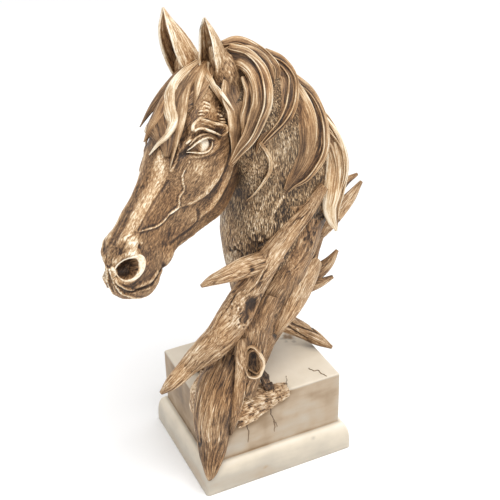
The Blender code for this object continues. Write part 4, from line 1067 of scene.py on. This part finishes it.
# Hollows of the front wood: centre, radii, depth, the way in, and how dark
HOLLOWS = [
    ((39, -3, 40.4), (5.6, 9, 10), 6, (-0.35, 0.9, -0.15), 0.1),
    ((37.5, -4, 93), (5.5, 9, 7), 4, (0.2, 0.95, -0.2), 0.3),
    ((31.5, -4, 84.5), (4.8, 8, 6.5), 2.5, (0.2, 0.95, -0.2), 0.27),
]
# Dark wells, and crumbling places: centre, radii and how much. The first well is the knot hole's dark inside,
# and the second darkens the wood round the crevice, as painted shade.
WELLS = [((37, 3, 41.5), (3.4, 9, 4.8), 0.6), ((52, 0, 22), (5, 8, 9), 0.25)]
DECAY = [
    ((30, -3, 83), (8, 9, 10), 1), ((93, 12, 131), (9, 9, 10), 1), ((82, 12, 104), (6, 7, 6), 0.7),
]
knot_rings = [knot_ring(1.0, 0.0, 1.0, 0.26, 71), knot_ring(0.74, 1.8, 1.2, 0.0, 72)]
for part in front_wood:
    part.soak = 0.9
    for row in HOLLOWS:
        hollowed(part, *row)
    part.tone -= sum(bump(part.rings, *row) for row in WELLS)
    decay = sum(bump(part.rings, *row) for row in DECAY)
    crumble(part, 0.8, 2.2, 44, 0.7 * np.clip(decay, 0.0, 1.0))
print("knot rings:", len(knot_rings))

# %% [markdown]
# ## Plinth
#
# A straight rectangular block with a bullnose round its foot, cast and painted ivory, with the
# hand-made softness of a painted casting: corners a little rounded, faces a little wavy.

# %%
SIDE_POINTS = 42
ARC_POINTS = 8
# Height of the moulding's upright foot, and radius of the edge round the plinth's top
MOULDING_FOOT = 1.75
TOP_RADIUS = 1.5
# Small brown spots on the moulding
SPOTS = [(91.3, -7, -54.1), (46.1, -7, -65.3), (125.5, -7, -67.5)]


def plinth_ring(half_x, half_y, radius):
    """A rectangle with round corners, (4 * (SIDE_POINTS + ARC_POINTS), xy), from its right side."""
    inner = []
    outward = []
    share = np.linspace(-1.0, 1.0, SIDE_POINTS)
    for angle, ahead in zip(np.arange(4) * math.pi / 2, np.array([(1, 0), (0, 1), (-1, 0), (0, -1)])):
        along = np.array([-ahead[1], ahead[0]])
        inner.append(ahead + share[:, None] * along)
        outward.append(np.broadcast_to(ahead, (SIDE_POINTS, 2)))
        bend = angle + np.linspace(0.0, math.pi / 2, ARC_POINTS + 2)[1:-1]
        inner.append(np.broadcast_to(ahead + along, (ARC_POINTS, 2)))
        outward.append(np.column_stack([np.cos(bend), np.sin(bend)]))
    size = np.array([max(half_x - radius, 0.0), max(half_y - radius, 0.0)])
    return np.vstack(inner) * size + np.vstack(outward) * radius


def plinth():
    """The plinth as rings from the middle of its underside, up its profile, to the middle of its top."""
    rows = [(0.0, MOULDING_OVERHANG - inset, max(2.4 - inset, 0.3)) for inset in (44.0, 24.0, 8.0, 2.4)]
    rows += [(0.0, MOULDING_OVERHANG - 1.4, 2.4), (0.25, MOULDING_OVERHANG - 0.9, 2.6)]
    for turn in np.linspace(0.0, 1.0, 26):
        angle = turn * math.pi / 2
        height = MOULDING_FOOT * min(turn * 4, 1.0)
        height += (MOULDING_HEIGHT - MOULDING_FOOT) * math.sin(angle) ** 1.05
        offset = MOULDING_OVERHANG * (1 - (1 - math.cos(angle)) ** 1.35)
        rows.append((min(height, MOULDING_HEIGHT) + 0.02 * turn, offset - 0.3 * (1 - turn), 3.0 - 1.6 * turn))
    for height in np.linspace(MOULDING_HEIGHT + 1.0, PLINTH_HEIGHT - 1.6, 36):
        rows.append((height, 0.0, 1.4))
    for angle in np.linspace(0.15, math.pi / 2, 6):
        drop, inset = TOP_RADIUS * (1.0 - math.sin(angle)), TOP_RADIUS * (1.0 - math.cos(angle))
        rows.append((PLINTH_HEIGHT - drop, -inset, 1.6))
    for inset in np.linspace(3.0, 47.6, 30):
        rows.append((PLINTH_HEIGHT, -inset, max(1.6 - inset * 0.2, 0.2)))
    rings = []
    for height, offset, radius in rows:
        flat = plinth_ring(PLINTH_WIDTH / 2 + offset, PLINTH_DEPTH / 2 + offset, radius)
        rings.append(np.column_stack([flat, np.full(len(flat), height)]))
    rings = np.stack(rings) - CORNER
    skin = Skin(rings, rings.copy(), 20.0)
    lift = np.clip((rings[..., 2] + PLINTH_HEIGHT) / 3.0, 0.0, 1.0)
    skin.push((0.18 * noise(rings, 26, 20, 81) + 0.05 * noise(rings, 6, 6, 82) - 0.1) * lift)
    # Painted light and shade: the moulding is painted a little lighter, as light on its upturned round, and a
    # thin band where the block meets it darker, as painted shade in the joint.
    foot = np.clip((-FACE - rings[..., 2] + 0.5) / 1.5, 0.0, 1.0)
    skin.tone = 0.09 * foot - 0.10 * np.exp(-((rings[..., 2] + FACE) / 0.9) ** 2)
    # A painted shadow beside the foot of the back root: a dark blotch on the top, broken up by noise.
    blotch = bump(rings, (106, 68, 0), (8, 11, 4), 1.1) + 0.5 * noise(rings, 3, 3, 83)
    skin.tone -= 1.1 * np.clip(blotch - 0.45, 0.0, 0.5)
    skin.tone -= sum(bump(rings, spot, (1.3, 4.0, 1.3), 0.3) for spot in SPOTS)
    return skin


# Hair cracks and runs of wash on the plinth's top and front
CRACKS = [
    [(98.7, 18.1, 0), (100.4, 12.7, 0), (104, 12.3, 0), (104.3, 6.1, 0), (106.7, 1.9, 0)],
    [(76.7, 17.1, 0), (74, 11, 0), (71.4, 5, 0)],
    [(33.5, 0, -13), (32.7, 0, -22), (34.2, 0, -31), (33.6, 0, -40)],
    [(53.8, 0, -10), (54.2, 0, -18.8), (56.8, 0, -27), (57.2, 0, -38)],
    [(56.8, 0, -27), (59, 0, -30), (59.6, 0, -34)],
]


def crack(points, seed):
    """A hair crack or a run of wash: a dark thread under a millimetre wide, half sunk in the face."""
    points = np.asarray(points, float)
    share = np.linspace(0.0, 1.0, len(points))
    rows = np.column_stack([points, 0.45 - 0.15 * share, np.full(len(points), 0.3)])
    on_top = points[0, 2] == 0.0
    skin = limb(rows, facing=(0.0, 0.0, 1.0) if on_top else (0.0, -1.0, 0.0), step=0.5)
    skin.rings = skin.rings + noise(skin.rings, 2.4, 2.4, seed)[..., None] * np.array([0.7, 0.0, 0.0])
    skin.tone -= 0.5
    return skin


plinth_skin = plinth()
cracks = [crack(points, 90 + number) for number, points in enumerate(CRACKS)]
print("plinth:", plinth_skin.rings.shape, "cracks:", len(cracks))

# %% [markdown]
# ## Where the brush reaches
#
# The wiped brown coat stays in hollows, and the cream coat lands on what stands out. Two measures
# give that. One is how far a point stands above its neighbours on its own skin. The other is how
# much other surface lies close in front of it: all skins are counted into a grid of small cells, the
# counts are blurred, and each point reads the blur a little way off its own surface.

# %%
# Sizes in millimetres: a cell, and the blur for grooves and for the spaces between limbs
CELL = 2.0
NEAR_BLUR = 3.0
WIDE_BLUR = 9.0


def cell_area(skin):
    """Area that each point of a grid stands for."""
    along = np.gradient(skin.rings, axis=0)
    around = (np.roll(skin.rings, -1, axis=1) - np.roll(skin.rings, 1, axis=1)) / 2
    return np.linalg.norm(np.cross(along, around), axis=-1)


class Closeness:
    """Blurred amount of surface per volume over the whole object."""

    def __init__(self, skins, blur):
        points = np.concatenate([skin.rings.reshape(-1, 3) for skin in skins])
        area = np.concatenate([cell_area(skin).ravel() for skin in skins])
        self.low = points.min(axis=0) - 4 * blur
        count = np.ceil((points.max(axis=0) + 4 * blur - self.low) / CELL).astype(int) + 1
        where = np.floor((points - self.low) / CELL).astype(int)
        flat = np.ravel_multi_index(where.T, count)
        grid = np.bincount(flat, area, minlength=int(np.prod(count))).reshape(count) / CELL ** 3
        spectrum = np.fft.rfftn(grid)
        for axis, size in enumerate(count):
            wave = np.fft.rfftfreq(size) if axis == 2 else np.fft.fftfreq(size)
            fade = np.exp(-2.0 * (math.pi * wave * blur / CELL) ** 2)
            shape = [1, 1, 1]
            shape[axis] = -1
            spectrum = spectrum * fade.reshape(shape)
        self.grid = np.fft.irfftn(spectrum, s=tuple(count))
        self.blur = blur

    def around(self, points):
        """Closeness at points, where 0 is what one flat surface gives from this far off."""
        place = (points - self.low) / CELL - 0.5
        place = np.clip(place, 0.0, np.array(self.grid.shape) - 2.001)
        total = blended(place, lambda cell: self.grid[cell[..., 0], cell[..., 1], cell[..., 2]], False)
        return total * self.blur * math.sqrt(2 * math.pi) * math.exp(0.5) - 1.0


all_skins = [head_skin, neck_skin] + knot_rings + face_parts + ears + near_mane + far_mane + crest_mane
all_skins += forelock_strands + front_wood + side_wood + foot_wood + [plinth_skin]
near_by = Closeness(all_skins, NEAR_BLUR)
wide_by = Closeness(all_skins, WIDE_BLUR)


# Paint of a flat open face of the casting and of the plinth
OPEN_PAINT = 0.47
PLINTH_PAINT = 0.39


def paint(skin):
    """How much cream and how little brown each point keeps: about 0 in pits, 1 on crests.

    tanh turns a swelling into -1 to 1, so a crest needs only a share of the points' spacing to count.
    """
    outward = skin.normals()
    spacing = math.sqrt(max(float(np.median(cell_area(skin))), 0.05))
    small = np.tanh(skin.swelling(1) / (0.13 * spacing))
    broad = np.tanh(skin.swelling(3) / (0.45 * spacing))
    close = np.clip(near_by.around(skin.rings + outward * near_by.blur), -0.5, 1.2)
    wide = np.clip(wide_by.around(skin.rings + outward * wide_by.blur), -0.5, 1.0)
    if skin is plinth_skin:
        # Painted light and shade on the plinth: faces that look up are painted lighter, and faces that look
        # left darker, most on the block above the moulding.
        block = np.clip(skin.rings[..., 2] + FACE, 0.0, 1.0)
        facing = 0.39 * np.clip(outward[..., 2], 0.0, 1.0)
        facing -= (0.02 + 0.12 * block) * np.clip(-outward[..., 0], 0.0, 1.0)
        return PLINTH_PAINT + 0.10 * broad - 0.14 * np.clip(close, 0.0, 1.0) + facing + skin.tone
    crisp = skin.contrast * (0.15 * small + 0.18 * broad)
    return OPEN_PAINT + crisp - skin.soak * (0.13 * close + 0.10 * wide) + skin.tone


print("closeness grids:", near_by.grid.shape, wide_by.grid.shape)

# %% [markdown]
# ## Materials
#
# One helper turns a colour from the picture, as it looks on a screen, into the linear values that
# shaders work in. Another adds any node with its settings and its links.

# %%
def colour(code):
    """Linear RGBA from a six-digit screen colour."""
    screen = np.array([int(code[place:place + 2], 16) for place in (0, 2, 4)]) / 255.0
    linear = np.where(screen <= 0.04045, screen / 12.92, ((screen + 0.055) / 1.055) ** 2.4)
    return (*linear.tolist(), 1.0)


def feed(tree, node, links=(), **values):
    """Give a node its input values and links, by name or number. A linked node gives its first output."""
    for name, value in values.items():
        node.inputs[name.replace("_", " ")].default_value = value
    for name, source in dict(links).items():
        tree.links.new(getattr(source, "outputs", [source])[0], node.inputs[name])
    return node


def add_node(tree, kind, settings=(), links=(), **values):
    """One node with its settings, links and values."""
    node = tree.nodes.new("ShaderNode" + kind)
    for name, value in dict(settings).items():
        setattr(node, name, value)
    return feed(tree, node, links, **values)


def with_stops(node, stops):
    """The same colour ramp node, with the given places and colours."""
    for stop in stops[1:-1]:
        node.color_ramp.elements.new(stop[0])
    for element, (place, code) in zip(node.color_ramp.elements, stops):
        element.position = place
        element.color = colour(code)
    return node


def new_material(name):
    """A node material, its tree, its shader, the paint of each point and its place on the object."""
    material = bpy.data.materials.new(name)
    material.use_nodes = True
    tree = material.node_tree
    wash = add_node(tree, "Attribute", {"attribute_name": "wash"}).outputs["Fac"]
    return material, tree, tree.nodes["Principled BSDF"], wash, add_node(tree, "TexCoord").outputs["Object"]


def stretched_noise(tree, grain, size, shift, detail, distortion):
    """Noise over the grain, where one mark is `size` millimetres across and along it."""
    scale = (1.0 / size[0], 1.0 / size[0], 1.0 / size[1])
    place = add_node(tree, "Mapping", (), {"Vector": grain}, Scale=scale, Location=(shift, shift, shift))
    return add_node(tree, "TexNoise", (), {"Vector": place}, Scale=1.0, Detail=detail, Roughness=0.62,
                    Distortion=distortion)


def thin_lines(tree, source, width, gain):
    """A value that is `gain` where the noise passes its middle, and 0 elsewhere."""
    middle = add_node(tree, "Math", {"operation": "SUBTRACT"}, {0: source})
    middle.inputs[1].default_value = 0.5
    off = add_node(tree, "Math", {"operation": "ABSOLUTE"}, {0: middle})
    return add_node(tree, "MapRange", (), {"Value": off}, From_Max=width, To_Min=gain, To_Max=0.0)


def layered(tree, total, layers):
    """A value with noise layers on it. Each layer's values from low to 1 - low become -gain to gain."""
    for source, low, gain in layers:
        layer = add_node(tree, "MapRange", (), {"Value": source}, From_Min=low, From_Max=1.0 - low,
                         To_Min=-gain, To_Max=gain)
        total = add_node(tree, "Math", {"operation": "ADD"}, {0: total, 1: layer})
    return total


def antiqued_resin(name, stops, stroke, stroke_gain, bump_height, line, line_gain):
    """Painted resin: brown wash in the hollows, cream dry brushing on the ridges.

    stroke is how far one fine brush or grain mark runs across and along the grain, in millimetres,
    and line is the same for the long thin cracks and the cream fibres beside them.
    """
    material, tree, shader, wash, place = new_material(name)
    grain = add_node(tree, "Attribute", {"attribute_name": "grain"}).outputs["Vector"]
    marks = stretched_noise(tree, grain, stroke, 0.0, 4.0, 0.4)
    cracks = thin_lines(tree, stretched_noise(tree, grain, line, 7.0, 2.0, 0.8), 0.06, -line_gain)
    fibres = thin_lines(tree, stretched_noise(tree, grain, line, 23.0, 2.0, 0.8), 0.05, line_gain)
    lined = add_node(tree, "Math", {"operation": "ADD"}, {0: cracks, 1: fibres})
    # Clouds of paint 14 mm across, specks of about 1 mm and warm stains of 26 mm
    cloud = add_node(tree, "TexNoise", (), {"Vector": place}, Scale=70.0, Detail=3.0)
    speck = add_node(tree, "TexNoise", (), {"Vector": place}, Scale=900.0, Detail=2.0)
    blotch = add_node(tree, "TexNoise", (), {"Vector": place}, Scale=38.0, Detail=2.0)
    total = layered(tree, wash, [(marks, 0.36, stroke_gain), (cloud, 0.3, 0.07), (speck, 0.3, 0.05)])
    total = add_node(tree, "Math", {"operation": "ADD", "use_clamp": True}, {0: total, 1: lined})
    pigment = with_stops(add_node(tree, "ValToRGB", (), {"Fac": total}), stops)
    share = add_node(tree, "MapRange", (), {"Value": blotch}, From_Min=0.42, From_Max=0.66, To_Max=0.75)
    warmed = add_node(tree, "Mix", {"data_type": "RGBA", "blend_type": "MULTIPLY"}, {0: share, 6: pigment})
    warmed.inputs[7].default_value = colour("FDEFDC")
    rough = add_node(tree, "MapRange", (), {"Value": total}, To_Min=0.50, To_Max=0.68)
    height = add_node(tree, "Math", {"operation": "ADD"}, {0: marks, 1: lined})
    lift = add_node(tree, "Bump", (), {"Height": height}, Strength=0.8, Distance=bump_height)
    feed(tree, shader, {"Base Color": warmed.outputs[2], "Roughness": rough, "Normal": lift},
         Specular_IOR_Level=0.35)
    return material


HORSE_STOPS = [
    (0.0, "2E2015"), (0.22, "60462F"), (0.45, "947350"), (0.62, "B69570"), (0.80, "DCC8A8"), (1.0, "F5ECDA"),
]
WOOD_STOPS = [
    (0.0, "2E2015"), (0.22, "5E452F"), (0.45, "92714E"), (0.62, "B3926E"), (0.80, "D4BB9A"), (1.0, "EFE2CD"),
]
NECK_STOPS = [
    (0.0, "2A1F17"), (0.22, "533F2B"), (0.45, "82684A"), (0.62, "A68A68"), (0.80, "CFB896"), (1.0, "EFE2CE"),
]
IVORY_STOPS = [
    (0.0, "3C2A1A"), (0.22, "8C7355"), (0.36, "B09C84"), (0.5, "B9B0A1"), (0.7, "D8CCB8"), (1.0, "F2EADC"),
]
# Cast resin under matt acrylic paint, dry brushed: dark grooves, tan faces, cream edges, a faint sheen.
# The coat has short hair strokes, the neck longer and stronger ones, the mane combed strands and the
# wood long fibres with open cracks. Fibres under half a millimetre are drawn as coarse as they need to
# be to show.
coat_finish = antiqued_resin("antiqued_resin_coat", HORSE_STOPS, (0.7, 3.2), 0.24, 0.0004, (5.0, 12.0), 0.04)
neck_finish = antiqued_resin("antiqued_resin_neck", NECK_STOPS, (0.6, 4.6), 0.48, 0.0005, (4.0, 11.0), 0.08)
hair_finish = antiqued_resin("antiqued_resin_hair", HORSE_STOPS, (0.6, 14.0), 0.18, 0.0004, (3.0, 60.0), 0.11)
wood_finish = antiqued_resin("antiqued_resin_wood", WOOD_STOPS, (0.6, 8.0), 0.25, 0.0005, (2.6, 36.0), 0.16)


def ivory_paint():
    """Ivory paint on the plinth: cloudy, warmer where the wash collects, paler on its edges."""
    material, tree, shader, wash, place = new_material("aged_ivory_paint")
    # Clouds of 45 mm, flat streaks of 50 by 11 mm, and a brushed grain of 4 mm
    cloud = add_node(tree, "TexNoise", (), {"Vector": place}, Scale=22.0, Detail=4.0, Roughness=0.55)
    slanted = add_node(tree, "Mapping", (), {"Vector": place}, Scale=(20.0, 20.0, 90.0),
                       Rotation=(0.0, 0.35, 0.0))
    streak = add_node(tree, "TexNoise", (), {"Vector": slanted}, Scale=1.0, Detail=3.0)
    fine = add_node(tree, "TexNoise", (), {"Vector": place}, Scale=260.0, Detail=3.0)
    total = layered(tree, wash, [(cloud, 0.3, 0.09), (streak, 0.3, 0.05)])
    total.use_clamp = True
    pigment = with_stops(add_node(tree, "ValToRGB", (), {"Fac": total}), IVORY_STOPS)
    rough = add_node(tree, "MapRange", (), {"Value": fine}, To_Min=0.36, To_Max=0.58)
    lift = add_node(tree, "Bump", (), {"Height": fine}, Strength=0.25, Distance=0.0002)
    feed(tree, shader, {"Base Color": pigment, "Roughness": rough, "Normal": lift}, Specular_IOR_Level=0.4)
    return material


ivory_finish = ivory_paint()
print("materials:", len(bpy.data.materials))

# %% [markdown]
# ## Pieces
#
# Each piece joins its skins into one mesh, with a flat fan on each end, and carries the paint and
# the grain as attributes. It stands for the CAD casting, or for the plinth.

# %%
def put(name, data, right=(1.0, 0.0, 0.0), upward=(0.0, 1.0, 0.0), place=(0.0, 0.0, 0.0)):
    """An object in the scene at a place, with its own x along `right` and its own y along `upward`."""
    thing = bpy.data.objects.new(name, data)
    bpy.context.scene.collection.objects.link(thing)
    axes = np.column_stack([right, upward, np.cross(right, upward), place])
    thing.matrix_world = Matrix(np.vstack([axes, [0.0, 0.0, 0.0, 1.0]]).tolist())
    return thing


def piece(name, skins, material, node, slot):
    """One mesh object from closed skins, which rides on the body and replaces a CAD node."""
    rows, quads, corners = [], [], [np.zeros((0, 3), int)]
    base = 0
    for skin in skins:
        count, sides = skin.rings.shape[:2]
        index = np.arange(count * sides).reshape(count, sides) + base
        if skin.looped:
            index = np.vstack([index, index[:1]])
        after = np.roll(index, -1, axis=1)
        grid = np.stack([index[:-1], after[:-1], after[1:], index[1:]], axis=-1).reshape(-1, 4)
        quads.append(grid if skin.sign > 0 else grid[:, ::-1])
        value = np.clip(paint(skin), 0.0, 1.0)[..., None]
        data = np.concatenate([skin.rings, value, skin.grain], axis=-1)
        rows.append(data.reshape(-1, 7))
        base += count * sides
        if skin.looped:
            continue
        for end, one, other in ((0, after[0], index[0]), (-1, index[-1], after[-1])):
            rows.append(data[end].mean(axis=0, keepdims=True))
            fan = np.stack([np.full(sides, base), one, other], axis=-1)
            corners.append(fan if skin.sign > 0 else fan[:, ::-1])
            base += 1
    rows, quads, corners = np.concatenate(rows), np.concatenate(quads), np.concatenate(corners)
    mesh = bpy.data.meshes.new(name)
    mesh.vertices.add(len(rows))
    mesh.vertices.foreach_set("co", ((CORNER + rows[:, :3]) * MILLIMETRE).astype(np.float32).ravel())
    loops = np.concatenate([quads.ravel(), corners.ravel()])
    mesh.loops.add(len(loops))
    mesh.loops.foreach_set("vertex_index", loops.astype(np.int32))
    starts = np.concatenate([np.arange(len(quads)) * 4, len(quads) * 4 + np.arange(len(corners)) * 3])
    mesh.polygons.add(len(starts))
    mesh.polygons.foreach_set("loop_start", starts.astype(np.int32))
    mesh.update(calc_edges=True)
    mesh.polygons.foreach_set("use_smooth", np.ones(len(starts), bool))
    wash = mesh.attributes.new("wash", "FLOAT", "POINT")
    wash.data.foreach_set("value", rows[:, 3].astype(np.float32))
    grain = mesh.attributes.new("grain", "FLOAT_VECTOR", "POINT")
    grain.data.foreach_set("vector", rows[:, 4:].astype(np.float32).ravel())
    mesh.materials.append(material)
    thing = put(name, mesh)
    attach(thing, "root")
    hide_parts(node)
    print(name, "triangles:", 2 * len(quads) + len(corners))
    return thing


CASTING = ("horse_and_driftwood", "antiqued_resin")
pieces = [
    piece("horse_head", [head_skin], coat_finish, *CASTING),
    piece("eyes_and_nostrils", face_parts, coat_finish, *CASTING),
    piece("ears", ears, coat_finish, *CASTING),
    piece("horse_neck", [neck_skin], neck_finish, *CASTING),
    piece("forelock", forelock_strands, hair_finish, *CASTING),
    piece("mane_near_side", near_mane, hair_finish, *CASTING),
    piece("mane_crest_and_far_side", crest_mane + far_mane, hair_finish, *CASTING),
    piece("driftwood_front", front_wood, wood_finish, *CASTING),
    piece("driftwood_back_and_spikes", side_wood, wood_finish, *CASTING),
    piece("driftwood_foot", foot_wood + knot_rings, wood_finish, *CASTING),
    piece("plinth_painted", [plinth_skin] + cracks, ivory_finish, "plinth", "ivory_resin"),
]
print("pieces:", len(pieces))

# %% [markdown]
# ## Camera, floor and light
#
# The camera's place, turn and lens come from the plinth's corners in the picture. The picture is a
# plain studio shot: white paper below and behind, a large soft light high in front, and a bright
# room that fills the shadows.

# %%
CAMERA_RIGHT = (0.90247, -0.43029, -0.01987)
CAMERA_UPWARD = (0.22752, 0.43701, 0.87020)
CAMERA_PLACE = (-0.2766, -0.6048, 0.5666)
FLOOR_HALF_SIZE = 8
LIGHT_PLACE = np.array([0.1, -0.6, 1.6])
LIGHT_TARGET = np.array([0.0, 0.0, 0.2])


def add_camera():
    """The camera that saw the picture."""
    data = bpy.data.cameras.new("studio_camera")
    data.sensor_width = 36.0
    data.lens = 70.35
    data.shift_x = -0.0022
    data.shift_y = -0.0152
    data.clip_start = 0.01
    bpy.context.scene.camera = put("studio_camera", data, CAMERA_RIGHT, CAMERA_UPWARD, CAMERA_PLACE)


def add_floor():
    """White paper under the object, with faint clouds."""
    mesh = bpy.data.meshes.new("paper_floor")
    corners = [(x * FLOOR_HALF_SIZE, y * FLOOR_HALF_SIZE, 0) for x, y in ((-1, -1), (1, -1), (1, 1), (-1, 1))]
    mesh.from_pydata(corners, [], [(0, 1, 2, 3)])
    material = bpy.data.materials.new("white_paper")
    material.use_nodes = True
    tree = material.node_tree
    place = add_node(tree, "TexCoord").outputs["Object"]
    cloud = add_node(tree, "TexNoise", (), {"Vector": place}, Scale=6.0)
    paper = with_stops(add_node(tree, "ValToRGB", (), {"Fac": cloud}), [(0.0, "FAFAFA"), (1.0, "FFFFFF")])
    feed(tree, tree.nodes["Principled BSDF"], {"Base Color": paper}, Roughness=0.9)
    mesh.materials.append(material)
    put("paper_floor", mesh)


def add_light():
    """A square softbox 0.8 m wide, which faces the object, in a bright even room."""
    data = bpy.data.lights.new("key_softbox", "AREA")
    data.energy = 15.0
    data.size = 0.8
    back = unit_rows(LIGHT_PLACE - LIGHT_TARGET)
    right = unit_rows(np.cross([0.0, 0.0, 1.0], back))
    put("key_softbox", data, right, np.cross(back, right), LIGHT_PLACE)
    world = bpy.data.worlds.new("bright_room")
    world.use_nodes = True
    feed(world.node_tree, world.node_tree.nodes["Background"], Color=(1.0, 1.0, 1.0, 1.0), Strength=0.92)
    bpy.context.scene.world = world


add_camera()
add_floor()
add_light()
bpy.context.scene.view_settings.view_transform = "Standard"
print("camera:", bpy.context.scene.camera.name)
